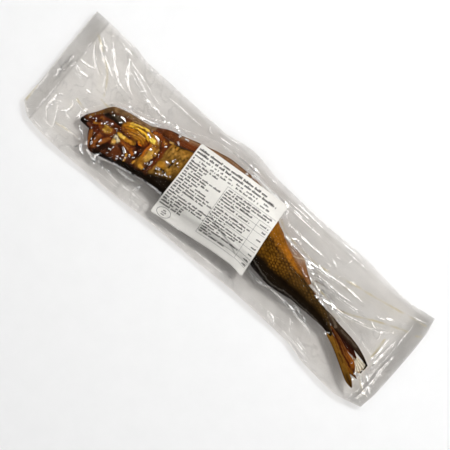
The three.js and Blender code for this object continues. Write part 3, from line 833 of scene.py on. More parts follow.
def fish_body(material):
    """The head's and trunk's one closed skin, from the snout to the root of the tail."""
    piece, share, angle, tip = rings("fish_body", material, *BODY_CELLS)
    x = np.interp(share, RING_SHARES, RING_PLACES)
    low, high = back(x), belly(x)
    middle, half = (low + high) / 2, (high - low) / 2
    end = np.sqrt(np.clip(1 - np.clip((x - TAIL_ROOT + 3) / 3, 0, 1) ** 2, 0.0, 1))
    wide = np.sign(np.cos(angle)) * np.abs(np.cos(angle)) ** (2 / SIDE_ROUNDNESS)
    deep = np.sin(angle)
    deep_half = thickness(x) / 2 * (0.25 + 0.75 * end)
    y = middle + wide * half * tip
    relief = body_relief(x, y) * ramp(0, 0.25, np.abs(deep)) * ramp(0, 2.5, deep_half)
    z = mid_height(x) + deep * deep_half * tip + np.sign(deep) * relief
    y = y + np.cos(angle) * 0.25 * lumps(x, z, 5, 51, 2)
    z = np.maximum(z, TABLE_GAP)
    move_points(piece, np.column_stack([x, y, z]))
    paint(piece, body_colors(x, y))
    face_outward(piece)
    return piece


def fish_jaw(material):
    """The lower jaw, from its blunt tip back under the gill cover."""
    piece, share, angle, tip = rings("fish_jaw", material, *JAW_CELLS)
    x = np.interp(share, [0, 0.03, 1], [JAW_TIP, JAW_TIP + 0.25, JAW_END])
    low, high = jaw_back(x), jaw_belly(x)
    round_tip = np.sqrt(np.clip((x - JAW_TIP) / 2.5, 0, 1))
    y = (low + high) / 2 + np.cos(angle) * (high - low) / 2 * tip
    relief = ridged(0.35 * lumps(x, y, 3.4, 61, 3), x, y, JAW_RIDGES, 0.06)
    relief = relief + stroke_relief(x, y, HEAD_STROKES)
    deep = np.sin(angle) * tip
    z = mid_height(x) - 0.5 + deep * jaw_thickness(x) / 2 * round_tip
    z = z + np.sign(deep) * relief * ramp(0, 0.3, np.abs(deep)) * round_tip
    z = np.maximum(z, TABLE_GAP)
    move_points(piece, np.column_stack([x, y, z]))
    paint(piece, head_colors(x, y))
    face_outward(piece)
    return piece


def plate(name, material, outline, lift, cells, drop):
    """A bony plate inside an outline on the head's upper side, and its twin on the side below."""
    outline = np.array(outline, float)
    centre = outline.mean(axis=0)
    turns = np.arctan2(*(outline - centre).T[::-1])
    reach = np.hypot(*(outline - centre).T)
    order = np.argsort(turns)
    turns, reach = turns[order], reach[order]
    turns = [turns[-1] - 2 * math.pi, *turns, turns[0] + 2 * math.pi]
    around = through(list(zip(turns, [reach[-1], *reach, reach[0]])))
    pieces = []
    for side in (1, -1):
        bm = bmesh.new()
        bmesh.ops.create_grid(bm, x_segments=cells, y_segments=cells, size=1)
        skirt = bmesh.ops.extrude_edge_only(bm, edges=[e for e in bm.edges if e.is_boundary])
        for vert in (v for v in skirt["geom"] if isinstance(v, bmesh.types.BMVert)):
            vert.co.z = -1
        bmesh.ops.holes_fill(bm, edges=[edge for edge in bm.edges if edge.is_boundary])
        bmesh.ops.recalc_face_normals(bm, faces=bm.faces[:])
        piece = new_piece(f"{name}_{'upper' if side > 0 else 'under'}", bm, material)
        u, v, low = (points_of(piece) * MM).T
        disc_u, disc_v = u * np.sqrt(1 - v * v / 2), v * np.sqrt(1 - u * u / 2)
        radius = np.hypot(disc_u, disc_v)
        far = radius * around(np.arctan2(disc_v, disc_u))
        x = centre[0] + far * disc_u / np.maximum(radius, 1e-9)
        y = centre[1] + far * disc_v / np.maximum(radius, 1e-9)
        over = body_top(x, y) - mid_height(x) + lift(x, y, radius) + stroke_relief(x, y, HEAD_STROKES)
        rim = ramp(PLATE_RIM, 1.0, radius)
        over = over - np.where(low < -0.5, PLATE_SKIRT, drop * rim)
        z = np.maximum(mid_height(x) + side * over, TABLE_GAP * 0.75)
        move_points(piece, np.column_stack([x, y, z]))
        # The rim is painted darker: painted shade where the plate meets the skin.
        paint(piece, head_colors(x, y) * (1 - 0.3 * rim)[:, None])
        face_outward(piece)
        pieces.append(piece)
    return pieces


FAN = [
    (-97.5, -6.4), (-96.6, -2.2), (-94.2, 1.6), (-90, 4.4), (-85, 6.4), (-80.5, 7.5), (-76.4, 7.3),
    (-73.6, 5.2), (-72.4, 1.6), (-72.6, -2.6), (-75, -5.6), (-79, -6.8), (-84, -7.0), (-91, -7.0),
]
REAR = [
    (-77.5, 8.0), (-73.4, 8.6), (-69.4, 7.0), (-66.4, 3.8), (-64.6, -0.5), (-63.8, -6), (-63.8, -12),
    (-65.2, -17.4), (-69.0, -19.2), (-71.8, -17.4), (-73.2, -12), (-74.4, -5), (-75.8, 2),
]
CHEEK = [
    (-97.2, -8.4), (-94, -7.2), (-88, -6.6), (-83.4, -7.0), (-80.8, -9.0), (-82, -11.2), (-88, -11.6),
    (-92, -11.4), (-96.4, -10.8),
]
WEDGE = [
    (-97.2, -11.4), (-94.4, -11.6), (-91, -12.6), (-90.2, -14.2), (-92, -16.4), (-93.6, -18.2),
    (-95.2, -16.0), (-96.8, -13.4),
]
MAXILLA = [
    (-119.4, -14.4), (-114, -10.2), (-108, -7.4), (-102, -5.8), (-97.4, -5.4), (-96.6, -7.2), (-99.6, -8.8),
    (-105, -10.2), (-110, -12.6), (-115, -15.6),
]
EYE = [
    (-108.4, -13.0), (-107.2, -15.4), (-104.2, -16.6), (-100.8, -16.2), (-98.2, -14.0), (-98.0, -11.6),
    (-100.2, -9.8), (-103.6, -9.4), (-106.8, -10.6),
]
TEMPLE = [
    (-95, -16.6), (-92, -15.2), (-88, -13.6), (-83, -14.0), (-79.4, -17.4), (-78.8, -21.6), (-81.2, -25.4),
    (-86, -27.4), (-91.4, -26.8), (-95.4, -23.4), (-96.4, -19.6),
]
COLLAR = [
    (-75.6, -12.6), (-73.8, -14.6), (-73.2, -18.6), (-74.4, -21.8), (-77.4, -22.4), (-79, -19.6),
    (-78.2, -15.6),
]


def striped(x, y):
    """The gill cover's fine ridges, as rings about its hinge."""
    wander = 0.35 * lumps(x, y, 6, 85)
    out = np.hypot((x - FAN_HINGE[0]) * 0.8, y - FAN_HINGE[1])
    return 0.5 + 0.5 * np.cos((out + wander) * 2 * math.pi / FAN_PITCH)


PLATES = [
    # name, outline, rise over the head, cells each way, how far its rim drops
    (
        "gill_plate", REAR,
        lambda x, y, r: 0.3 + 0.6 * ramp(-76, -66, x) + 0.3 * swell(r - 0.88, 0.07), 84, 0.5,
    ),
    (
        "gill_fan", FAN,
        lambda x, y, r: 0.5 + 0.8 * ramp(1.0, 0.35, r) + 0.1 * striped(x, y) * ramp(1.05, 0.7, r), 96, 0.45,
    ),
    ("cheek_plate", CHEEK, lambda x, y, r: 0.4 + 0.6 * ramp(1.0, 0.3, r), 54, 0.4),
    ("cheek_wedge", WEDGE, lambda x, y, r: 0.5 + 0.5 * ramp(1.0, 0.3, r), 40, 0.4),
    (
        "upper_jaw_bone", MAXILLA,
        lambda x, y, r: 0.4 + 0.9 * ramp(1.0, 0.2, r) + 0.2 * lumps(x, y, 1.7, 76, 2), 64, 0.4,
    ),
    (
        "skull_rim", TEMPLE,
        lambda x, y, r: 0.2 + 0.6 * ramp(1.0, 0.5, r) + 0.4 * lumps(x, y, 3.0, 78, 2), 72, 0.5,
    ),
    ("collar_bone", COLLAR, lambda x, y, r: 0.4 + 0.6 * ramp(1.0, 0.3, r), 40, 0.4),
    ("eye", EYE, lambda x, y, r: 0.2 + 0.9 * np.sqrt(np.clip(1 - r * r, 0, 1)), 50, 0.3),
]


def head_plates(material):
    """The head's bones and its eyes, on both sides."""
    return [piece for name, *shape in PLATES for piece in plate(name, material, *shape)]


# ---------------------------------------------------------------- fins and tail


FIN_STROKES = [
    # points, half width, colour, strength, rise
    # between the tail's two fingers
    (
        [(112.6, -9.6), (118, -12), (122, -13.4), (127, -16), (133, -18.6), (140, -20.6)],
        0.75, (68, 25, 10), 0.9, 0,
    ),
    # dark and pale streaks on its lobes and fingers
    ([(119, -8.8), (126, -9.8), (134, -11.4)], 0.5, (28, 11, 7), 0.7, 0),
    ([(114, -11.4), (120, -14.6), (126, -17.4)], 0.32, (92, 44, 14), 0.75, 0),
    ([(122, -11.8), (130, -15.0), (137, -18.2)], 0.32, (74, 30, 10), 0.8, 0),
    ([(127, -18.8), (134, -21.6)], 0.4, (56, 30, 9), 0.8, 0),
    ([(131, -13.4), (136, -15.6)], 0.4, (156, 88, 36), 0.6, 0),
    ([(118, -5.6), (127, -6.2), (134, -7.0)], 0.8, (104, 93, 82), 0.55, 0),
    # Pale root of the tail: painted reflection of the film's fold over it.
    ([(103, -2.0), (108, -3.8), (113, -6.4)], 0.9, (126, 112, 96), 0.6, 0),
    # the anal fin's pale line: painted highlight of a film crease across it
    ([(55, 10), (60, 12), (63.5, 14)], 0.45, (212, 196, 172), 0.85, 0),
]


def blade(name, material, spine, widths, lift, thick, rays, colors, seed, cells, torn):
    """A fin's blade along a spine: widths are [share along, width to the left, width to the right]."""
    piece, along, across, upper = closed_sheet(name, material, cells)
    t, s = along + 0.5, across * 2
    t = t * np.clip(1 - torn * (0.35 + 0.65 * lumps(s * 5, s * 0, 1.0, seed)) * 0.06, 0, 1)
    path = bend(spine, 16)
    run = np.concatenate([[0], np.cumsum(np.hypot(*np.diff(path, axis=0).T))])
    run /= run[-1]
    cx, cy = np.interp(t, run, path[:, 0]), np.interp(t, run, path[:, 1])
    dx = np.interp(t + 0.01, run, path[:, 0]) - np.interp(t - 0.01, run, path[:, 0])
    dy = np.interp(t + 0.01, run, path[:, 1]) - np.interp(t - 0.01, run, path[:, 1])
    length = np.hypot(dx, dy)
    share, left, right = np.array(widths, float).T
    wide = np.where(s > 0, through(list(zip(share, left)))(t), through(list(zip(share, right)))(t))
    x, y = cx - dy / length * s * wide, cy + dx / length * s * wide
    ridge = 0.16 * np.cos(s * rays * math.pi) * ramp(0, 0.15, t)
    body = thick * np.sqrt(np.clip(1 - np.abs(s) ** 4, 0.02, 1)) * (1 - 0.55 * t)
    z = mid_height(x) + lift + np.where(upper, body / 2, -body / 2) + ridge + 0.35 * lumps(x, y, 6, seed + 3)
    move_points(piece, np.column_stack([x, y, z]))
    rayed = colors(x, y, t, s) * (1 + 0.28 * np.cos(s * rays * math.pi))[:, None]
    paint(piece, stroked(rayed, x, y, FIN_STROKES, 55))
    face_outward(piece)
    return piece


def grey_lobe(x, y, t, s):
    return layered(
        x, (60, 46, 35),
        ((96, 84, 72), 0.7 * ramp(0.25, 0.0, t)),
        ((36, 20, 12), ramp(-0.2, -0.9, s) * ramp(0.1, 0.4, t)),
        ((24, 15, 9), ramp(0.8, 1.0, s) * ramp(0.6, 0.9, t)),
        ((20, 12, 7), ramp(0.8, 1.0, t)),
    )


def red_rays(x, y, t, s):
    return layered(
        x, (46, 15, 7), ((96, 44, 22), ramp(-0.2, -0.9, s) * 0.8), ((80, 34, 14), ramp(0.75, 1.0, t)),
    )


def gold_lobe(x, y, t, s):
    return layered(
        x, (128, 90, 30),
        ((58, 34, 9), ramp(-0.55, -1.0, s) * ramp(0.05, 0.3, t)),
        ((60, 36, 8), 0.9 * ramp(0.62, 0.82, t) * ramp(0.9, 0.2, np.abs(s))),
        ((84, 54, 14), ramp(0.9, 1.0, t)),
    )


def brown_finger(x, y, t, s):
    streak = ramp(0.25, 0.6, lumps(t * 9, s * 1.6, 1.0, 183, 2)) * ramp(0.5, -0.2, s)
    return layered(
        x, (120, 72, 30),
        ((96, 58, 26), 0.8 * ramp(0.5, 0.2, t)),
        ((70, 24, 12), 0.9 * streak * ramp(0.7, 0.4, t)),
        ((140, 80, 24), ramp(0.55, 0.7, t)),
        ((40, 20, 7), ramp(-0.6, -0.95, s)),
        ((66, 32, 10), ramp(0.84, 1.0, t)),
    )


def gold_finger(x, y, t, s):
    return layered(
        x, (132, 92, 32),
        ((124, 76, 22), ramp(0.5, 0.8, t)),
        ((52, 26, 8), ramp(-0.3, -0.9, s) * ramp(0.8, 0.9, t)),
        ((110, 70, 24), ramp(0.86, 0.96, t)),
    )


def cream_scrap(x, y, t, s):
    return layered(x, (216, 207, 188), ((168, 142, 106), ramp(0.2, 0.7, lumps(x, y, 2.2, 187, 2))))


def dark_scrap(x, y, t, s):
    return layered(x, (34, 20, 11))


def brown_fin(x, y, t, s):
    return layered(
        x, (168, 142, 122),
        ((156, 112, 78), ramp(0.52, 0.68, t)),
        ((142, 92, 46), ramp(-0.1, -0.9, s)),
        ((196, 176, 156), 0.7 * ramp(0.55, 0.95, s) * ramp(0.7, 0.5, t)),
    )


BLADES = [
    # name, spine, widths, lift over the fish's middle, thickness, rays, colours, seed, cells, how torn it is
    (
        "tail_lobe_belly_side",
        [(96, -2.4), (104, -3.6), (112, -5.4), (122, -6.3), (132, -7.5), (141, -9.7), (149, -12)],
        [
            (0, 0.2, 0.3), (0.12, 1.5, 1.6), (0.3, 2.3, 2.6), (0.5, 2.3, 2.5), (0.69, 2.1, 2.1),
            (0.86, 1.5, 1.2), (1, 0.35, 0.4),
        ],
        0.5, 1.2, 7, grey_lobe, 81, BLADE_CELLS, 0.3,
    ),
    (
        "tail_rays_middle", [(110, -7.6), (120, -9.7), (130, -11.5), (139.6, -13.6)],
        [(0, 0.8, 1.0), (0.34, 1.9, 2.3), (0.72, 2.6, 1.9), (0.9, 1.5, 0.8), (1, 0.2, 0.3)],
        0.1, 1.0, 6, red_rays, 84, BLADE_CELLS, 0.4,
    ),
    (
        "tail_finger_upper", [(109.6, -8.2), (120, -11.7), (130, -15.8), (138, -18.2), (145.4, -22)],
        [(0, 0.6, 1.0), (0.32, 1.8, 1.6), (0.6, 2.3, 1.7), (0.8, 2.7, 2.0), (1, 0.4, 0.3)],
        0.5, 1.0, 5, brown_finger, 87, BLADE_CELLS, 0.3,
    ),
    (
        "tail_finger_lower", [(111, -11.8), (120, -14.8), (130, -18.8), (140, -22.0), (149.6, -24.0)],
        [
            (0, 1.2, 1.2), (0.3, 1.7, 1.8), (0.6, 1.9, 2.0), (0.82, 1.9, 1.9), (0.93, 1.0, 0.8),
            (1, 0.2, 0.2),
        ],
        0.2, 1.0, 5, gold_finger, 90, BLADE_CELLS, 0.3,
    ),
    (
        "tail_lobe_back_side", [(111.4, -13.4), (120, -16.4), (132, -22), (142, -27), (151.4, -31.2)],
        [(0, 1.6, 1.6), (0.3, 2.3, 1.7), (0.6, 3.0, 2.0), (0.84, 2.5, 2.2), (1, 0.4, 0.4)],
        0, 1.3, 8, gold_lobe, 93, BLADE_CELLS, 0.4,
    ),
    (
        "tail_scrap", [(136, -12.6), (142, -15.2), (148.6, -17.6)],
        [(0, 0.9, 0.9), (0.4, 3.0, 2.2), (0.75, 5.0, 4.4), (1, 5.4, 5.8)],
        -0.6, 0.5, 5, cream_scrap, 96, (60, 50), 2.2,
    ),
    (
        "anal_fin", [(40, 16.2), (52, 13.3), (62, 11.2), (70, 7.6), (79.6, 4.2)],
        [
            (0, 0.4, 0.8), (0.3, 2.3, 3.0), (0.56, 3.3, 4.0), (0.64, 2.7, 3.8), (0.77, 2.0, 3.2),
            (1, 0.2, 2.4),
        ],
        0.6, 0.8, 12, brown_fin, 99, BLADE_CELLS, 0.3,
    ),
]
CHIPS = [
    # the dark chips at the tail's end: spine, half width
    ([(147.6, -11.6), (148.4, -13.6), (148.3, -16.2)], 0.55),
    ([(148.3, -17.1), (148.5, -19.3)], 0.5),
]


def fins(material):
    """The tail's torn lobes, the anal fin, and the chips at the tail's end."""
    made = [blade(name, material, *shape) for name, *shape in BLADES]
    for k, (spine, wide) in enumerate(CHIPS):
        widths = [(0, wide, wide), (0.5, wide * 0.8, wide), (1, 0.3, 0.3)]
        shape = (spine, widths, 0.2, 0.7, 2, dark_scrap, 180 + k, (24, 8), 0.5)
        made.append(blade(f"tail_chip_{k}", material, *shape))
    return made


# ---------------------------------------------------------------- film


def film_row(v):
    """Where a row of the film begins and ends along the pouch, for its share of the way across."""
    at = FILM_FROM + FILM_SPAN * v
    return head_edge(at), tail_edge(at)


def film_places():
    """The film's grid of places, as two arrays with a row for each step across the pouch."""
    u = np.interp(np.linspace(0, 1, FILM_CELLS[0] + 1), *FILM_SHARES)
    v = np.linspace(0, 1, FILM_CELLS[1] + 1)
    u, v = np.meshgrid(u, v)
    first, last = film_row(v)
    x = first * (1 - u) + last * u
    y = back_edge(x) * (1 - v) + belly_edge(x) * v
    return x, y


def film_cell(x, y):
    """The film's grid cell over each place, as row and column."""
    v = (y - back_edge(x)) / (belly_edge(x) - back_edge(x))
    first, last = film_row(v)
    u = (x - first) / (last - first)
    column = np.clip(np.rint(np.interp(u, *FILM_SHARES[::-1]) * FILM_CELLS[0]), 0, FILM_CELLS[0]).astype(int)
    row = np.clip(np.rint(v * FILM_CELLS[1]), 0, FILM_CELLS[1]).astype(int)
    return row, column


def inward_of_edges(x, y):
    """How far each place lies from the nearer of the pouch's two ends, and of its two long edges."""
    ends = np.minimum(x - head_edge(y), tail_edge(y) - x)
    sides = np.minimum(y - back_edge(x), belly_edge(x) - y)
    return ends, sides


def sheet_height(x, y):
    """The height of the welded sheet, which sinks and waves a little towards its edges."""
    ends, sides = inward_of_edges(x, y)
    wave = EDGE_WAVE * np.sin(2 * math.pi * (x + 0.6 * y) / EDGE_WAVE_LENGTH)
    inward = ramp(0, 1, np.minimum(ends / SHEET_RISE[0], sides / SHEET_RISE[1]))
    return (SHEET_LOW + wave) * (1 - inward) + SHEET_HIGH * inward


FOLDS = [
    # points, height, half width
    # from the corner on the belly's side, gathered towards the snout
    ([(-150, 42), (-141, 33), (-130, 23), (-119, 16.6), (-108.6, 15.6)], 1.1, 1.4),
    ([(-141, 40.5), (-130, 37.4), (-123, 30), (-116, 21), (-106, 16.4)], 1.1, 1.4),
    ([(-152, 33), (-143, 25.5), (-133, 20), (-124, 16)], 1.0, 1.4),
    ([(-153.5, 30), (-148, 22), (-139, 15), (-131, 12.6)], 1.1, 1.4),
    ([(-131, 17), (-127, 9.6), (-121, 5.4)], 1.0, 1.5),
    ([(-154, 25), (-152.4, 18), (-151.4, 14)], 0.8, 1.3),
    ([(-154, 34), (-146, 30.4), (-142, 27)], 0.8, 1.2),
    ([(-153, 10.8), (-144, 11.4), (-139, 14)], 0.9, 1.3),
    ([(-153, 6.6), (-147, 4.6), (-139, 5.0)], 1.1, 1.8),
    ([(-152, 3.4), (-146, 2.2), (-138, 2.6)], 0.7, 1.2),
    ([(-122, 32), (-108, 27.5), (-96, 23)], 0.5, 1.6),
    ([(-126, 18.4), (-118, 13.4)], 0.5, 1.1),
    ([(-108, 12.4), (-100, 9.4)], 0.5, 1.0),
    ([(-134, 39), (-128, 38.6)], 0.7, 1.2),
    ([(-128, 35), (-112, 31.4), (-92, 26)], 0.4, 1.4),
    # towards the jaw's tip
    ([(-137.5, -13), (-133.6, -16.4), (-134, -22), (-138.4, -27)], 0.8, 1.5),
    ([(-136, -12.2), (-126, -13.6), (-122, -13.0)], 0.6, 1.2),
    ([(-126.4, -15.4), (-125.6, -19.6), (-127, -23)], 0.6, 1.2),
    ([(-151, -16), (-146.6, -20), (-146, -30), (-139, -38)], 0.7, 1.7),
    ([(-148, -18), (-144, -16)], 0.7, 1.2),
    ([(-141, -24), (-136.6, -32), (-133, -39)], 0.6, 1.5),
    ([(-121, -24), (-116, -27), (-112, -29.4)], 0.6, 1.4),
    ([(-137, -34), (-124, -31.4), (-112, -31)], 0.5, 1.2),
    # below the head, on the back's side
    ([(-80, -28.8), (-71, -28.8), (-64, -27)], 0.6, 1.1),
    # along the belly's side of the head
    ([(-114, 1.4), (-109, 4.6), (-104, 7.0)], 0.8, 1.1),
    ([(-100.4, 7.4), (-97, 8.2), (-93.6, 9.2)], 1.0, 1.2),
    ([(-92, 9.4), (-82, 13.2), (-76, 17)], 0.4, 1.1),
    ([(-76, 21.6), (-70, 18.4), (-60, 18.6)], 0.9, 1.3),
    ([(-74, 24), (-62, 21.6), (-46, 24)], 0.6, 1.2),
    ([(-90, 22), (-76, 19)], 0.5, 1.1),
    ([(-118, 28), (-92, 21), (-72, 21.6)], 0.4, 1.5),
    # above the label
    ([(-8.6, 30.4), (-9.6, 35.5), (-9, 41)], 1.0, 1.3),
    ([(-5.4, 38), (-4.6, 35.2), (0, 34.6), (18, 34.2)], 1.0, 1.3),
    # behind the label, towards the tail
    ([(33, 20.6), (46, 17.4), (60, 15.4), (70, 15.2), (84, 17), (98, 19), (118, 18.6)], 1.1, 1.5),
    ([(52, 13.4), (66, 12.8), (78, 13.4)], 0.7, 1.1),
    ([(70, 9.6), (84, 12.2), (98, 12.2), (112, 14)], 0.8, 1.2),
    ([(84, 6.4), (98, 9.8), (110, 11.4), (128, 13.4)], 0.6, 1.1),
    ([(80, 3.0), (90, 2.4), (100, 2.6), (112, 4), (130, 9.4), (146, 18)], 0.7, 1.2),
    ([(84, 0.4), (92, 0.2), (97, -1)], 0.8, 1.0),
    ([(150, 36), (160, 38.5)], 0.6, 1.4),
    ([(38, 24.6), (60, 24), (80, 25.4)], 0.25, 1.4),
    ([(129.6, 18.8), (133.6, 19.4), (136, 20.8)], 0.3, 1.0),
    ([(136.4, 21.4), (138.4, 23), (140, 24)], 0.3, 1.0),
    ([(128, 14), (134, 11.4), (140, 12.6)], 0.7, 1.2),
    ([(96, -2.6), (101, -5.6), (106, -9.4)], 0.6, 0.9),
    ([(98, 4), (103, 1.0)], 0.5, 0.9),
    # beyond the tail
    ([(147, 11.6), (147.6, 2.0), (148.6, -8)], 0.7, 1.2),
    ([(152, 14), (151, -2), (153, -14)], 0.5, 1.4),
    ([(149, -20), (155, -24), (158.6, -27.6), (164, -29)], 0.8, 1.4),
    ([(152, -16), (158, -21), (163, -25.6)], 0.5, 1.4),
    ([(158, 8), (157.6, -8), (159, -20), (158.4, -34)], 0.6, 1.8),
    # along the back
    ([(80, -15.4), (92, -17.4), (103, -22)], 0.7, 1.2),
    ([(60, -18.0), (76, -17.8), (92, -19.6), (104, -20.4)], 0.5, 1.0),
    ([(37, -18.4), (50, -20.0), (58, -18.6)], 0.5, 0.9),
    ([(70, -32), (76, -33.4), (81, -38)], 0.6, 1.2),
    ([(84, -22), (88, -26), (91, -31)], 0.4, 1.2),
    ([(88, -33.6), (104, -35), (116, -36.4)], 0.9, 1.0),
    ([(96, -38.0), (108, -39.4), (118, -40.0)], 0.8, 0.9),
]


def pleats():
    """Long fine pleats beside the welds of the two long edges: points, height and half width."""
    draw = np.random.default_rng(5)
    made = []
    for edge, inward, count in ((BELLY_EDGE, -1, 16), (BACK_EDGE, 1, 24)):
        across = through(edge)
        for _ in range(count):
            start, length = draw.uniform(-150, 110), draw.uniform(22, 62)
            x = np.linspace(start, min(start + length, 158), 5)
            inset = draw.uniform(1.2, 10.5) + draw.uniform(-1.2, 1.2) * np.linspace(0, 1, 5)
            y = across(x) + inward * inset
            made.append((list(zip(x, y)), draw.uniform(0.2, 0.5), draw.uniform(0.5, 0.95)))
    return made


def crumples():
    """Short creases strewn over the free sheet, mostly pointing at the fish."""
    draw = np.random.default_rng(8)
    made = []
    for _ in range(96):
        x, y = draw.uniform(-150, 160), draw.uniform(-36, 40)
        turn = math.atan2(-y * 0.5, -x * 0.35) + draw.normal(0, 0.5)
        half, sag = draw.uniform(2.0, 6.5), draw.normal(0, 1.0)
        c, s = math.cos(turn), math.sin(turn)
        points = [(x - half * c, y - half * s), (x - sag * s, y + sag * c), (x + half * c, y + half * s)]
        height, wide = draw.uniform(0.15, 0.5), draw.uniform(0.7, 1.2)
        if not (y < -14 and x > -60) and not (y > 25 and x > 95):
            made.append((points, height, wide))
    return made


def fold_heights(x, y, folds):
    """The folds' heights over the film's places. A fold has a rounded crest and fades towards its ends."""
    total = np.zeros(x.shape)
    for points, height, half in folds:
        path = bend(points, 6)
        wide = max(0.9 * half, 1.25)
        low, high = path.min(axis=0) - wide * 1.1, path.max(axis=0) + wide * 1.1
        near = (x > low[0]) & (x < high[0]) & (y > low[1]) & (y < high[1])
        if not near.any():
            continue
        along, away, _ = beside(path, x[near], y[near])
        slope = FOLD_SLOPE * min(0.6 + 0.7 * height, 1.0) * (1 + 0.26 * lumps(x[near], y[near], 2.8, 127))
        rise = slope * wide * np.sin(math.pi * np.clip(along, 0.03, 0.97)) ** 0.4
        total[near] = np.maximum(total[near], rise * np.clip(1 - away / wide, 0, 1))
    return total


# Short sharp creases of the film that clings to the fish.
GLINTS = [
    # throat and jaws
    [(-103, 1), (-100, 0.9), (-98, 0.5), (-97.2, -0.6)], [(-100.6, -3.4), (-99.4, -2.4), (-98.4, -3)],
    [(-109.2, -0.8), (-108.6, -1.4)], [(-107.2, -1.9), (-106.8, -2.3)], [(-118.8, -14.6), (-118, -14)],
    [(-116.6, -13.4), (-116, -13)], [(-115, -12.2), (-114.2, -11.6)], [(-114.2, -14), (-112.8, -13.2)],
    [(-109.8, -12.4), (-108.6, -12.2)], [(-108.2, -11.4), (-106.6, -10.6)], [(-105.8, -10.2), (-105, -9.9)],
    [(-104.2, -9.6), (-102.8, -9)], [(-107.6, -8.8), (-106.4, -8.4)], [(-104.4, -7.7), (-102.4, -7.2)],
    [(-100, -8.4), (-98.6, -8)], [(-97.6, -8.4), (-97, -8.7)], [(-118.6, -17.2), (-118, -16.8)],
    [(-120.4, -18.8), (-120, -18)], [(-112.9, -19.4), (-112.4, -19)],
    # snout and skull
    [(-105.8, -22), (-105.6, -24)], [(-107.8, -25.6), (-107, -25)],
    [(-106.2, -25.8), (-105.6, -27.2), (-104.8, -28.8)],
    [(-109.2, -27.4), (-108.4, -29.2), (-106.8, -30.8)], [(-101.2, -20.4), (-101.6, -22), (-101.7, -23.6)],
    [(-101, -26.4), (-99.8, -25.2)], [(-108.6, -20.2), (-108.2, -20.8)], [(-91.9, -19.4), (-90.8, -19.2)],
    [(-93.2, -21.8), (-93, -22.8)], [(-91.6, -21), (-91.4, -22.2)], [(-92.4, -25.6), (-91.8, -25.2)],
    [(-88.4, -25.6), (-87.8, -26)], [(-86.9, -14.2), (-84.6, -15.6), (-82, -16.9)],
    [(-84, -15.9), (-82.4, -16.3)],
    [(-79.7, -15.4), (-78.2, -16.4)], [(-77.8, -10.2), (-77, -11.4), (-76.5, -12.8)],
    [(-76, -14.4), (-75.7, -15.4)],
    [(-74.4, -9.5), (-73.6, -9.3)], [(-82.6, -18), (-82.6, -19.8)], [(-82.8, -22.2), (-81.8, -21.2)],
    [(-84.8, -21), (-85, -22), (-85.8, -22.8)], [(-84.9, -24), (-83.6, -24.2)],
    [(-80.2, -18.4), (-80, -19.4)],
    [(-80.4, -21), (-79.9, -21.4)],
    # gill cover
    [(-79.9, 6.4), (-79.4, 4.9), (-77.4, 4.2), (-75.2, 2.6)],
    [(-76.2, 7.4), (-72.2, 6.9), (-70, 5.6), (-68.4, 3.8)],
    [(-78.8, 8.6), (-78.4, 7.8)], [(-71.8, -2.9), (-70.4, -2.2), (-69.6, -3.6)],
    [(-69.9, -1.4), (-69.4, -3.4)],
    [(-64.3, 6.8), (-63.3, 5.8)], [(-64.2, -1.5), (-63.2, -1.1)], [(-65.8, -1.8), (-65.6, -3)],
    [(-64.6, -7.4), (-63.8, -9.6), (-63.6, -12)], [(-65.4, -10.2), (-65, -11.8)],
    [(-67.7, -12.7), (-66, -12)],
    [(-65.2, -15.4), (-64.5, -16)],
    # flank beside the label
    [(-57.8, -1.9), (-55, -1.5), (-52.2, -1.1)], [(-55, -3.2), (-53.6, -2.6)], [(-52.8, 4.1), (-52, 4.3)],
    [(-53.6, 2.5), (-51.6, 2)], [(-50, 2.5), (-49.2, 3.2)], [(-47.9, 1.9), (-47.2, 1.3)],
    [(-51.4, 0.1), (-50.6, 0.4)],
    [(-58.6, -8.4), (-58.2, -10.4)], [(-57.6, -9), (-55.6, -8.4)], [(-54.6, -8.9), (-52.4, -8.6)],
    [(-51.4, -9.4), (-50.2, -8)], [(-49.8, -8.9), (-48.6, -8)], [(-48.2, -7.2), (-46.4, -6.8)],
    [(-56.5, -12.6), (-55.8, -12)], [(-54.6, -11.4), (-53.6, -10.8)], [(-52.6, -10.6), (-51.8, -10)],
    [(-62.8, 18.8), (-60.8, 19.1)], [(-58.4, 19.9), (-56, 20.4), (-54.2, 21)],
    # over the belly
    [(-13.6, 35.5), (-14.4, 31.5)], [(-9.8, 36), (-9.0, 33), (-8.0, 30.2)],
    [(-5.4, 35.8), (-4.0, 32.9), (0, 32.0)],
    # tail
    [(110.8, -12.8), (112.2, -13.5)], [(138.2, -17.9), (139.4, -17.3)],
    [(144.8, -21.0), (146.6, -22.6)],
    [(146, -25.6), (147.8, -26.4)], [(108.6, -14.4), (110.4, -15), (112, -15.6)], [(86.6, 0.3), (89.4, -0.2)],
    [(91.6, -0.5), (93.4, -0.6)], [(94.2, -0.9), (96, -0.6)], [(57, -18.6), (58.8, -17.6)],
]

CLEAR = (0.966, 0.957, 0.945)  # what the film lets through
STAIN = (0.86, 0.80, 0.62)
# Creases that look yellowish.
STAINS = [
    [(-155.6, 33.4), (-150, 30.4), (-144.6, 26.6)],
    [(-140, 23.4), (-134, 19.8), (-127, 11.6), (-122, 3.4)],
    [(-121.4, 0.2), (-117, -0.6), (-113.4, -0.4)],
    [(-135, -11.2), (-129, -12.8), (-122.6, -13.4)],
    [(-135, -34.4), (-126, -32.4), (-116, -31.4)],
    [
        (31, 24.4), (43.6, 18.7), (66, 17.5), (82, 19.3), (102, 24.7), (114, 27.1), (135, 31.9), (150, 35.5),
        (161, 37.9),
    ],
    [(78, 6.6), (92, 4.6), (104, 3.4), (116, 7.6), (134, 17.2), (154, 26)],
    [(145.6, 10.4), (146.6, 2), (147.2, -5)],
    [(160.6, 27.6), (164, 30)],
    [(150.4, -21.4), (157.6, -26.9), (163.6, -29)],
    [(-162.8, -23), (-162.4, -30), (-162.2, -36)],
]
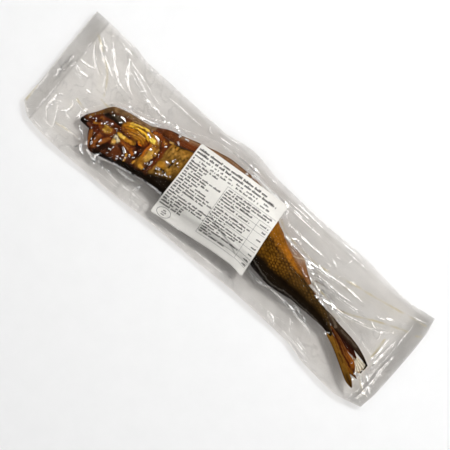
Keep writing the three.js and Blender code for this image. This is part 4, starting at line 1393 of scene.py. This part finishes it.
# Sharp kinks where the film drops steeply from the fish: points, and the haze that they add.
KINKS = [
    ([(-95.8, -29.4), (-97.4, -33.0), (-95.0, -36.6)], 0.75),
    ([(-95.0, -36.6), (-100.8, -34.4), (-104.4, -33.4)], 0.7),
    ([(-110.6, -33.6), (-113.0, -37.6)], 0.6), ([(-110.4, -33.4), (-108.4, -35.9), (-105.4, -38.2)], 0.75),
    ([(-109.6, -35.4), (-107.6, -38.2)], 0.6),
    ([(-95, -31.2), (-90, -29.9), (-86, -28.6)], 0.16), ([(-84, -27.8), (-78, -26.3), (-70, -24.4)], 0.2),
    ([(-67, -23.8), (-60, -22.4)], 0.16), ([(-57, -21.8), (-50, -20.9), (-44, -20.4)], 0.24),
    # along the belly's side of the head
    ([(-113.8, 1.9), (-109.8, 4.3), (-104.2, 6.6), (-98.7, 8.4)], 0.4),
    ([(-97, 8.8), (-90.4, 10.4), (-83.9, 12.6), (-79, 15)], 0.4),
    # beside the anal fin and the root of the tail
    ([(42, 17.2), (52, 15.6), (62, 15)], 0.35), ([(66, 15.2), (77, 16.2), (88, 17.5)], 0.3),
    ([(66.4, 14.5), (74, 13.4), (82, 11.5)], 0.3), ([(76, 6.9), (81, 6.1), (86.8, 4.3)], 0.35),
    ([(82, 10.3), (87, 9.9), (92.8, 8.9)], 0.3), ([(86.8, 0.9), (92, 0.1), (97.6, -1.1)], 0.3),
    ([(97.6, 4.3), (103, 3.4), (108.4, 1.9)], 0.3), ([(88, 6.4), (95, 6.2), (101, 5.0)], 0.3),
    ([(90, 3.4), (96, 2.6), (102, 1.8)], 0.35),
]
SHADE = (0.62, 0.55, 0.47)
# Creases beside the anal fin and the root of the tail, along which the film's tint is darkened as painted
# shade.
SHADED = [
    [(73, 7.6), (80, 5.4), (86, 3.6)], [(80, 8), (86, 9.4)], [(84, 1.4), (93, 1), (100, 0.8)],
    [(100, 2.8), (105, 3.6), (110, 5.4)], [(99, 0.4), (104, -0.8), (109, -2.6)],
]


def pulled(heights, limit, x, y, draw, fixed, rounds):
    """A stretched film over the limit below it, drawn down by its vacuum."""
    west, east = x[1:-1, 1:-1] - x[1:-1, :-2], x[1:-1, 2:] - x[1:-1, 1:-1]
    south, north = y[1:-1, 1:-1] - y[:-2, 1:-1], y[2:, 1:-1] - y[1:-1, 1:-1]
    share_x, share_y = 1 / (west + east), 1 / (south + north)
    total = 1 / (west * east) + 1 / (south * north)
    free = ~fixed[1:-1, 1:-1]
    for _ in range(rounds):
        inner = (
            (heights[1:-1, :-2] / west + heights[1:-1, 2:] / east) * share_x
            + (heights[:-2, 1:-1] / south + heights[2:, 1:-1] / north) * share_y
            - draw[1:-1, 1:-1] / 2
        ) / total
        inner = np.maximum(inner, limit[1:-1, 1:-1])
        heights[1:-1, 1:-1] = np.where(free, inner, heights[1:-1, 1:-1])
    return heights


def contents_limit(contents, side):
    """How high the film must lie over the contents, or under them with side -1, in the film's cells."""
    limit = np.full((FILM_CELLS[1] + 1, FILM_CELLS[0] + 1), -1e9)
    for piece in contents:
        x, y, z = points_of(piece).T
        np.maximum.at(limit, film_cell(x, y), z * side + FILM_GAP)
    spread = limit.copy()
    for down in (-1, 0, 1):
        for right in (-1, 0, 1):
            spread = np.maximum(spread, np.roll(limit, (down, right), (0, 1)))
    return spread


def label_axes(x, y):
    """A place in the label's own directions, from its middle."""
    dx, dy = x - LABEL_AT[0], y - LABEL_AT[1]
    c, s = math.cos(LABEL_TURN), math.sin(LABEL_TURN)
    return dx * c + dy * s, dy * c - dx * s


def seal_crimp(x, y, ends):
    """The welded bands' fine cross ribs and the bubbled patch in the one beyond the head."""
    band = ramp(SEAL_END + 0.5, SEAL_END - 1.0, ends) * ramp(0.5, 2.0, ends)
    patch = swell(oval(*BUBBLES, x, y))
    bubbles = patch * 0.55 * lumps(x * 1.3, y * 0.6, 3.0, 121, 3)
    line = 0.22 * swell(ends - SEAL_END, 0.8) * (1 + 0.8 * lumps(x, y, 9, 125))
    return band * (0.10 * lumps(x, y, 3.5, 123, 2) + bubbles) + line


def film_skins(contents):
    """The upper and lower film over the contents, with their folds, and the upper one's haze and tint."""
    x, y = film_places()
    sheet = sheet_height(x, y)
    ends, sides = inward_of_edges(x, y)
    fixed = (ends < SEAL_END) | (sides < SEAL_SIDE)
    a, b = label_axes(x, y)
    half_wide, half_high = LABEL_SIZE[0] / 2, LABEL_SIZE[1] / 2
    labelled = (np.abs(a) < half_wide) & (b < half_high) & (b > foot_rise(a) - half_high)
    skins = []
    over_fish = contents_limit(contents, 1)
    for side, lying in ((1, over_fish), (-1, contents_limit(contents, -1))):
        limit = np.maximum(lying, side * sheet + SHEET_GAP / 2)
        suction = np.where(labelled & (side > 0), LABEL_SUCTION * ramp(-4, -16, b), 1.0) / FREE_SPAN_RADIUS
        skins.append(side * pulled(limit.copy(), limit, x, y, suction, fixed, FILM_ROUNDS))
    top, bottom = skins
    apart = top - bottom
    together = ramp(3.0, 0.8, apart)
    clinging = ramp(1.0, 0.2, top - over_fish)
    rise_x = np.gradient(top, axis=1) / np.gradient(x, axis=1)
    rise_y = np.gradient(top, axis=0) / np.gradient(y, axis=0)
    slope = np.hypot(rise_x, rise_y)
    span = ramp(0.12 + 0.06 * together, 0.3 + 0.06 * together, slope) * (1 - clinging)
    folds = fold_heights(x, y, FOLDS)
    fine = 0.85 * fold_heights(x, y, pleats() + crumples())
    glints = fold_heights(x, y, [(points, 1.0, GLINT_HALF) for points in GLINTS])
    wrinkle = 0.5 * lumps(x, y, 17, 99) + 0.12 * lumps(x, y, 6, 101, 2)
    wrinkle = wrinkle + 0.05 * lumps(x * 0.4, y, 2.2, 104, 2)
    crinkled = ramp(0.14, 0.0, np.abs(lumps(x + 0.5 * y, y, 9, 153, 2)))
    crinkled = crinkled * ramp(-0.5, 0.4, lumps(x, y, 22, 155)) * (1 - clinging)
    crinkled = crinkled * (1 - 0.8 * ramp(-20, 30, x) * ramp(8, 14, y))
    nearest = np.minimum(ends, sides)
    inside = ramp(0, 4, nearest)
    both = (folds + fine + wrinkle + 0.14 * crinkled) * together * ramp(0.2, 2.0, nearest)
    off_label = np.where(labelled, 0.0, 1.0)
    alone = (folds + 0.9 * fine) * (1 - together) * off_label * (1 - 0.45 * span)
    tight = (0.09 * lumps(x, y, 2.6, 107, 2) + 0.05 * lumps(x, y, 1.3, 109)) * (1 - together) * off_label
    crimp = seal_crimp(x, y, ends)
    top = top + both + inside * (alone + glints * (1 - together) + np.maximum(tight, -0.1)) + crimp
    bottom = bottom + both + crimp - inside * 0.3 * fine * (1 - together)
    bottom = np.minimum(np.maximum(bottom, 0.04), top - 0.2)
    haze = film_haze(x, y, top, apart, clinging, span, folds, fine, glints)
    return x, y, top, bottom, haze, film_tint(x, y, ends, crinkled)


def film_haze(x, y, top, apart, clinging, span, folds, fine, glints):
    """How much of the light the film mirrors: most on creases, least on the fish and on steep spans."""
    rim = ramp(0.6, 2.0, apart) * ramp(1.2, 2.4, np.hypot(*np.gradient(top, axis=(0, 1))))
    patchy = np.clip(0.97 + 0.2 * lumps(x, y, 5, 147), 0, 1)
    on_fish = np.maximum(clinging, patchy * ramp(1.6, 4.0, apart))
    uneven = 1 + 0.6 * lumps(x, y, 7, 115, 2)
    haze = (FREE_HAZE - 0.05 * on_fish) * uneven - 0.05 * rim
    thinned = np.clip(0.85 + 0.4 * lumps(x, y, 6, 149), 0, 1)
    haze = haze * (1 - span * thinned) + 0.6 * ramp(0.28, 0.48, glints) * clinging
    haze = haze + (0.035 + 0.3 * span) * ramp(0.1, 0.35, folds + fine) * (1 - clinging)
    haze = haze + 0.07 * ramp(0.25, 0.45, folds) * (1 - clinging) * (1 - span)
    for path, share in KINKS:
        _, away, _ = beside(bend(path, 5), x, y)
        haze = haze + share * ramp(0.85, 0.3, away) * (1 + 0.6 * lumps(x, y, 3, 151))
    return np.clip(haze, *HAZE_RANGE)


def film_tint(x, y, ends, crinkled):
    """What the film lets through: less in its welds, in random dull patches, in painted shade and a painted
    shadow, and where it is scuffed or stained.
    """
    # Painted shade: the tint is darker along the crinkles' lines.
    tint = np.tile(CLEAR, (*x.shape, 1)) * (1 - 0.075 * crinkled)[..., None]
    welded = ramp(SEAL_END + 0.6, SEAL_END - 0.8, ends) * ramp(0, -1, x)
    welded = welded + ramp(SEAL_END + 5, SEAL_END - 4, ends) * ramp(-1, 0, x)
    weld_line = swell(ends - SEAL_END, 0.6) * ramp(0, -100, x)
    # Painted shade: darker towards the tail on the belly's side, towards the head by the belly's edge, and
    # behind the label on the belly's side.
    dull_and_painted_shade = 0.045 * ramp(-115, -20, x) * ramp(-15, 10, y)
    dull_and_painted_shade = dull_and_painted_shade + 0.04 * ramp(12, 34, y) * ramp(-30, -70, x)
    dull_and_painted_shade = dull_and_painted_shade + 0.035 * ramp(20, 60, x) * ramp(0, 14, y) * ramp(36, 30, y) * ramp(150, 120, x)
    # A painted shadow below the fish's back.
    dull_and_painted_shade = dull_and_painted_shade + 0.025 * ramp(-16, -24, y) * ramp(10, 50, x)
    # Random dull patches.
    dull_and_painted_shade = dull_and_painted_shade + 0.02 * lumps(x, y, 26, 145) + 0.014 * lumps(x, y, 7, 157, 2)
    tint = tint * (1 - (0.09 + 0.03 * ramp(0, 1, x)) * welded - dull_and_painted_shade - 0.12 * weld_line)[..., None]
    for paths, color, reach in ((STAINS, STAIN, 0.9), (SHADED, SHADE, 0.7)):
        for path in paths:
            _, away, _ = beside(bend(path, 5), x, y)
            stained = ramp(reach, 0.1, away) * (0.55 + 0.6 * lumps(x, y, 5, 141))
            tint = tint + (np.array(color) - tint) * np.clip(stained, 0, 1)[..., None]
    scuffed = ramp(1.2, 0.5, oval(*SCUFF, x, y))
    scuffed = scuffed * ramp(-0.3, 0.7, lumps(x * 1.6, y * 0.5, 2.4, 143, 2))
    return tint * (1 - 0.16 * scuffed)[..., None]


def film(contents, material):
    """The pouch: an upper and a coarser lower film, welded all round into one closed surface."""
    x, y, top, bottom, haze, tint = film_skins(contents)
    bm = bmesh.new()
    lower = Matrix.Translation((0, 0, -APART))
    bmesh.ops.create_grid(bm, x_segments=FILM_CELLS[0], y_segments=FILM_CELLS[1], size=0.5)
    made = bmesh.ops.create_grid(
        bm, x_segments=FILM_CELLS[0] // 2, y_segments=FILM_CELLS[1] // 2, size=0.5, matrix=lower,
    )
    under = {face for vert in made["verts"] for face in vert.link_faces}
    bmesh.ops.reverse_faces(bm, faces=list(under))
    rim = [edge for edge in bm.edges if edge.is_boundary and edge.verts[0].co.z < -APART / 2]
    bmesh.ops.subdivide_edges(bm, edges=rim, cuts=1)
    bmesh.ops.bridge_loops(bm, edges=[edge for edge in bm.edges if edge.is_boundary])
    bmesh.ops.recalc_face_normals(bm, faces=bm.faces[:])
    piece = new_piece("film", bm, material)
    unit = points_of(piece) * MM
    column = np.rint((unit[:, 0] + 0.5) * FILM_CELLS[0]).astype(int)
    row = np.rint((unit[:, 1] + 0.5) * FILM_CELLS[1]).astype(int)
    z = np.where(unit[:, 2] > -APART / 2, top[row, column], bottom[row, column])
    move_points(piece, np.column_stack([x[row, column], y[row, column], z]))
    mask(piece, "haze", haze[row, column])
    paint(piece, tint[row, column], "tint")
    return piece, top


# ---------------------------------------------------------------- label


# The sheet's broad buckles and its two creases: points, height, half width.
LABEL_BUCKLES = [
    ([(-34, 22), (-22, 19), (-10, 21)], 0.5, 3.0),
    ([(-37, -16), (-20, -19), (0, -17), (18, -20)], 0.6, 3.0),
    ([(6, 26), (12, 10), (9, -6)], 0.35, 3.5),
    ([(20, -10), (30, -14), (37, -12)], 0.5, 2.6),
    ([(-30, -26), (-18, -25)], 0.5, 2.4),
    ([(12, -24), (20, -22.4), (28, -25.4), (36, -24)], 0.3, 3.4),
    ([(-17, 7), (-9, 6.4), (-1, 3.0)], 0.1, 5.0),
]
LABEL_CREASES = [
    ([(-6, -4.4), (0, -8.2), (4.5, -10.8), (10.8, -12.8), (22.2, -17.8), (27, -21)], 0.7, 1.5),
    ([(-1, -6.4), (6.8, -10.6), (13.8, -13.0), (26.3, -16.6)], 0.5, 1.4),
]
# Where the paper is painted darker along its creases: painted shade.
LABEL_CREASE_SHADE = [
    [(-5.3, -6), (0, -9.2), (4.5, -11.8), (10.8, -13.5), (22, -18.8), (26, -21.6)],
    [(0, -9), (6.8, -12.9), (13.8, -15.2), (26, -18.4)],
]
PAPER = linear(228, 225, 218)


def label_point(a, b):
    """A place of the row frame from one in the label's own directions."""
    a, b = a * (1 + 0.045 * ramp(10, -30, b)), b + foot_rise(a) * ramp(-5, -30.5, b)
    c, s = math.cos(LABEL_TURN), math.sin(LABEL_TURN)
    return LABEL_AT[0] + a * c - b * s, LABEL_AT[1] + a * s + b * c


def label_surface(top):
    """The label's lower face as a function of a place in its own directions: a stiff sheet on the film."""
    wide, high = LABEL_SIZE
    across, down = LABEL_GRID
    a, b = np.meshgrid(
        np.linspace(-wide / 2, wide / 2, across + 1), np.linspace(-high / 2, high / 2, down + 1),
    )
    row, column = film_cell(*label_point(a, b))
    least = np.max([top[np.clip(row + i, 0, FILM_CELLS[1]), np.clip(column + j, 0, FILM_CELLS[0])]
                    for i in (-1, 0, 1) for j in (-1, 0, 1)], axis=0) + LABEL_GAP
    heights = least.copy()
    for _ in range(LABEL_ROUNDS):
        padded = np.pad(heights, 1, mode="reflect", reflect_type="odd")
        mean = (padded[1:-1, :-2] + padded[1:-1, 2:] + padded[:-2, 1:-1] + padded[2:, 1:-1]) / 4
        heights = np.maximum(mean, least)
    buckle = 0.3 * fold_heights(a, b, LABEL_BUCKLES) + 1.15 * fold_heights(a, b, LABEL_CREASES)
    heights = heights + buckle + 0.12 * (1 + lumps(a, b, 12, 131, 2))
    heights = heights + (1.4 + 1.2 * ramp(-20, 25, a)) * ramp(-20, -30.5, b)

    def surface(at_a, at_b):
        i = np.clip((at_b / high + 0.5) * down, 0, down - 0.001)
        j = np.clip((at_a / wide + 0.5) * across, 0, across - 0.001)
        i0, j0 = np.floor(i).astype(int), np.floor(j).astype(int)
        fi, fj = i - i0, j - j0
        near = heights[i0, j0] * (1 - fj) + heights[i0, j0 + 1] * fj
        far = heights[i0 + 1, j0] * (1 - fj) + heights[i0 + 1, j0 + 1] * fj
        return near * (1 - fi) + far * fi

    return surface


def rounded(a, b):
    """Draws in the corners of the label's oblong."""
    over_a = np.abs(a) - (LABEL_SIZE[0] / 2 - LABEL_CORNER)
    over_b = np.abs(b) - (LABEL_SIZE[1] / 2 - LABEL_CORNER)
    corner = (over_a > 0) & (over_b > 0)
    reach = np.hypot(np.maximum(over_a, 1e-6), np.maximum(over_b, 1e-6))
    share = np.maximum(over_a, over_b) / reach
    a = np.where(corner, a - np.sign(a) * over_a * (1 - share), a)
    b = np.where(corner, b - np.sign(b) * over_b * (1 - share), b)
    return a, b


def label(surface, material):
    """The paper sheet, with its rounded corners, and painted shade along its creases."""
    piece, along, across, upper = closed_sheet("label_sheet", material, LABEL_CELLS)
    a, b = rounded(along * LABEL_SIZE[0], across * LABEL_SIZE[1])
    x, y = label_point(a, b)
    z = surface(a, b) + np.where(upper, LABEL_THICKNESS, 0)
    move_points(piece, np.column_stack([x, y, z]))
    # Painted shade along the creases.
    crease_shade = np.zeros(len(a))
    for path in LABEL_CREASE_SHADE:
        _, away, _ = beside(bend(path, 5), a, b)
        crease_shade = np.maximum(crease_shade, ramp(0.7, 0.1, away) * (0.75 + 0.4 * lumps(a, b, 3, 161)))
    paint(piece, PAPER * (1 - 0.55 * crease_shade)[:, None], "paper")
    face_outward(piece)
    return piece


SMALL_PRINT = (1.45, 0.85, 0.17, 0.97)  # its marks' height, width and gap, and the share of them that shows


def print_blocks():
    """The print as oblongs in the label's own directions: [left, right, foot, head]."""
    draw = np.random.default_rng(17)
    blocks = []

    def row(left, right, foot, high, wide, gap, fill=1.0):
        """Marks of uneven width and height that stand in rows, as words of small print do."""
        at, word = left, draw.integers(3, 10)
        while at < right:
            step = wide * draw.uniform(0.6, 1.25)
            tall = high * draw.choice([0.68, 0.72, 1.0], p=[0.4, 0.3, 0.3])
            if draw.uniform() < fill:
                blocks.append((at, min(at + step, right), foot, foot + tall))
            at += step + gap
            word -= 1
            if word <= 0:
                at += wide * 1.1
                word = draw.integers(2, 11)

    def line(left, right, foot, head):
        blocks.append((left, right, foot, head))

    for k, reach in enumerate((22.0, 32.0)):
        row(-37.0 - 0.3 * k, reach, 25.9 - 2.75 * k, 1.95, 1.0, 0.16)
    for k, reach in enumerate((27.0, 30.5)):
        row(-37.2, reach, 20.6 - 2.5 * k, 1.4, 0.8, 0.22, 0.72)
    lengths = (24, 15, 13, 31, 19, 23, 15, 24, 28, 32, 26, 10, 33, 30, 32.5, 17, 17.5, 17)
    for k, length in enumerate(lengths):
        row(-37.2, -37.2 + length, 15.6 - 2.18 * k, *SMALL_PRINT)
    head, foot, left, right, divider = 16.3, -24.6, -4.9, 37.4, 27.2
    line(left - 0.1, left + 0.1, foot, head)
    line(divider - 0.09, divider + 0.09, foot, 10.1)
    for at in (head, 10.1, 5.9, 1.9, -6.6, -11.3, -17.4, -21.4, foot):
        line(left, right, at - 0.1, at + 0.1)
    reaches = (36, 35, 20, 24, 9, 24, 2, 27, 24, 24, 10, 27, 26, 22, 10, 27, 6, 18)
    for k, reach in enumerate(reaches):
        row(left + 1.0, reach - 1, 14.0 - 2.16 * k, *SMALL_PRINT)
    figures = ((7.2, 7.4), (3.2, 2.8), (-3.0, 3.2), (-9.8, 3.4), (-15.2, 2.6), (-20.2, 3.6), (-23.7, 3.0))
    for at, length in figures:
        row(36.4 - length if length < 5 else 29.4, 36.8, at, 1.35, 0.85, 0.2)
    middle, height = SEAL_RING
    for k, length in enumerate((2.4, 3.6, 2.6)):
        row(middle - length / 2, middle + length / 2, height + 1.0 - 1.55 * k, 1.05, 0.75, 0.2)
    return blocks


def print_piece(surface, material):
    """The label's print, as thin ink that follows the paper."""
    bm = bmesh.new()
    for left, right, foot, head in print_blocks():
        wide, tall = right - left, head - foot
        place = Matrix.Translation(((left + right) / 2, (foot + head) / 2, 0))
        bmesh.ops.create_grid(
            bm, x_segments=max(1, math.ceil(wide / 0.6)), y_segments=max(1, math.ceil(tall / 0.8)), size=0.5,
            matrix=place @ Matrix.Diagonal((wide, tall, 1, 1)),
        )
    ring = Matrix.Translation((*SEAL_RING, 0)) @ Matrix.Diagonal((*SEAL_RADII, 1, 1))
    made = bmesh.ops.create_circle(bm, segments=48, radius=1, matrix=ring)
    rim = {edge for vert in made["verts"] for edge in vert.link_edges}
    grown = bmesh.ops.extrude_edge_only(bm, edges=list(rim))
    outer = [v for v in grown["geom"] if isinstance(v, bmesh.types.BMVert)]
    from_middle = Matrix.Translation((-SEAL_RING[0], -SEAL_RING[1], 0))
    bmesh.ops.scale(bm, verts=outer, vec=(1.06, 1.08, 1), space=from_middle)
    bm.normal_update()
    bmesh.ops.reverse_faces(bm, faces=[face for face in bm.faces if face.normal.z < 0])
    thicken(bm)
    bmesh.ops.recalc_face_normals(bm, faces=bm.faces[:])
    piece = new_piece("label_print", bm, material, smooth=False)
    a, b, rise = (points_of(piece) * MM).T
    x, y = label_point(a, b)
    z = surface(a, b) + LABEL_THICKNESS + np.where(rise > APART / 2, PRINT_RISE, -PRINT_SINK)
    move_points(piece, np.column_stack([x, y, z]))
    return piece


# ---------------------------------------------------------------- scene

CAMERA_AT = (4.92, -6.24)
CAMERA_TURN = math.radians(42.5)
CAMERA_LENS = 180
VIEW_WIDTH = 324.0  # what the square picture spans, in mm
PACK_MIDDLE = 8.0  # the height that the width is for
SENSOR_WIDTH = 36
CAMERA_HEIGHT = VIEW_WIDTH * CAMERA_LENS / SENSOR_WIDTH + PACK_MIDDLE

# The lamps' powers in watts. The fills' are for the belly's side and for the back's.
KEY_POWER = 9.7
PANEL_POWER = 0.9
FILL_POWERS = (1.4, 0.95)
CARD_POWER = 2.7
WALL_POWER = 0.7
SKY_STRENGTH = 0.09
FILLS, CARDS, WALLS = 8, 18, 6


def camera():
    """Looks straight down at the pack, which lies slantwise in the picture."""
    data = bpy.data.cameras.new("camera")
    data.lens = CAMERA_LENS
    data.clip_start, data.clip_end = 0.05, 10
    eye = bpy.data.objects.new("camera", data)
    bpy.context.scene.collection.objects.link(eye)
    eye.location = (CAMERA_AT[0] * MM, CAMERA_AT[1] * MM, CAMERA_HEIGHT * MM)
    eye.rotation_euler = (0, 0, CAMERA_TURN)
    bpy.context.scene.camera = eye


def lamp(name, at, size, power, lights=True, mirrored=True):
    """An area lamp that looks at the middle of the pack, and may only light it or only be mirrored in it."""
    data = bpy.data.lights.new(name, "AREA")
    data.shape = "RECTANGLE"
    data.size, data.size_y = size
    data.energy = power
    lit = bpy.data.objects.new(name, data)
    bpy.context.scene.collection.objects.link(lit)
    lit.location = at
    lit.visible_diffuse = lights
    lit.visible_glossy = mirrored
    direction = -lit.location
    lit.rotation_euler = direction.to_track_quat("-Z", "Y").to_euler()


def round_pack(turn, reach, height):
    """A place on a circle round the pack."""
    return reach * math.cos(turn), reach * math.sin(turn), height


def studio():
    """Soft light from the belly's side, and a ring of pale cards that the film mirrors where it slopes."""
    lamp("key", (0.2, 0.68, 1.12), (0.34, 0.22), KEY_POWER, mirrored=False)
    lamp("panel", (0.05, 0.42, 1.15), (1.3, 0.42), PANEL_POWER)
    for k in range(FILLS):
        turn = 2 * math.pi * (k + 0.5) / FILLS
        power = FILL_POWERS[0] if math.sin(turn) > 0 else FILL_POWERS[1]
        lamp(f"fill_{k}", round_pack(turn, 0.9, 0.84), (0.4, 0.3), power, mirrored=False)
    for k in range(CARDS):
        turn = 2 * math.pi * (k + 0.5) / CARDS
        power = CARD_POWER * (0.4 + 0.6 * float(ramp(-0.45, 0.35, math.sin(turn))))
        lamp(f"card_{k}", round_pack(turn, 0.84 + 0.06 * (k % 3), 0.84), (0.25, 0.42), power, lights=False)
    for k in range(WALLS):
        turn = 2 * math.pi * k / WALLS
        lamp(f"wall_{k}", round_pack(turn, 0.9, 0.3), (0.6, 0.36), WALL_POWER, lights=False)
    world = bpy.data.worlds.new("studio")
    world.use_nodes = True
    back_light = world.node_tree.nodes["Background"]
    back_light.inputs["Color"].default_value = (1, 1, 1, 1)
    back_light.inputs["Strength"].default_value = SKY_STRENGTH
    bpy.context.scene.world = world


def floor():
    """A pale table top under the pack, which isn't part of the object."""
    material = plain_material("pale_floor", (0.93, 0.93, 0.93), 0.8, 60, 0.01, 0.0)
    bm = bmesh.new()
    bmesh.ops.create_grid(bm, x_segments=1, y_segments=1, size=2.5)
    ground = new_piece("floor", bm, material)
    move_points(ground, points_of(ground) + np.array([0, 0, -0.3]))


def build():
    """The fish, the film over it and the label, in the places of the frame's two nodes."""
    skin = skin_material("smoked_skin", 0.32, 0.0)
    bone = skin_material("gill_bone", 0.28, 0.06, mottling=0.2, size=700.0, bump=0.2)
    fin = skin_material("dried_fin", 0.36, 0.0, mottling=0.25, size=800.0, bump=0.25)
    contents = [fish_body(skin), fish_jaw(skin), *head_plates(bone), *fins(fin)]
    pouch, top = film(contents, film_material())
    surface = label_surface(top)
    sheet = label(surface, plain_material("label_paper", "paper", 0.5, 900.0, 0.04, 0.12))
    ink = print_piece(surface, plain_material("label_ink", linear(40, 36, 32), 0.6, 900.0, 0.1, 0.1))
    for piece in [*contents, pouch]:
        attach(piece, "root")
        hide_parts("pouch")
    for piece in (sheet, ink):
        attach(piece, "root")
        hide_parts("label")


camera()
build()
floor()
studio()
bpy.context.scene.view_settings.view_transform = "Standard"
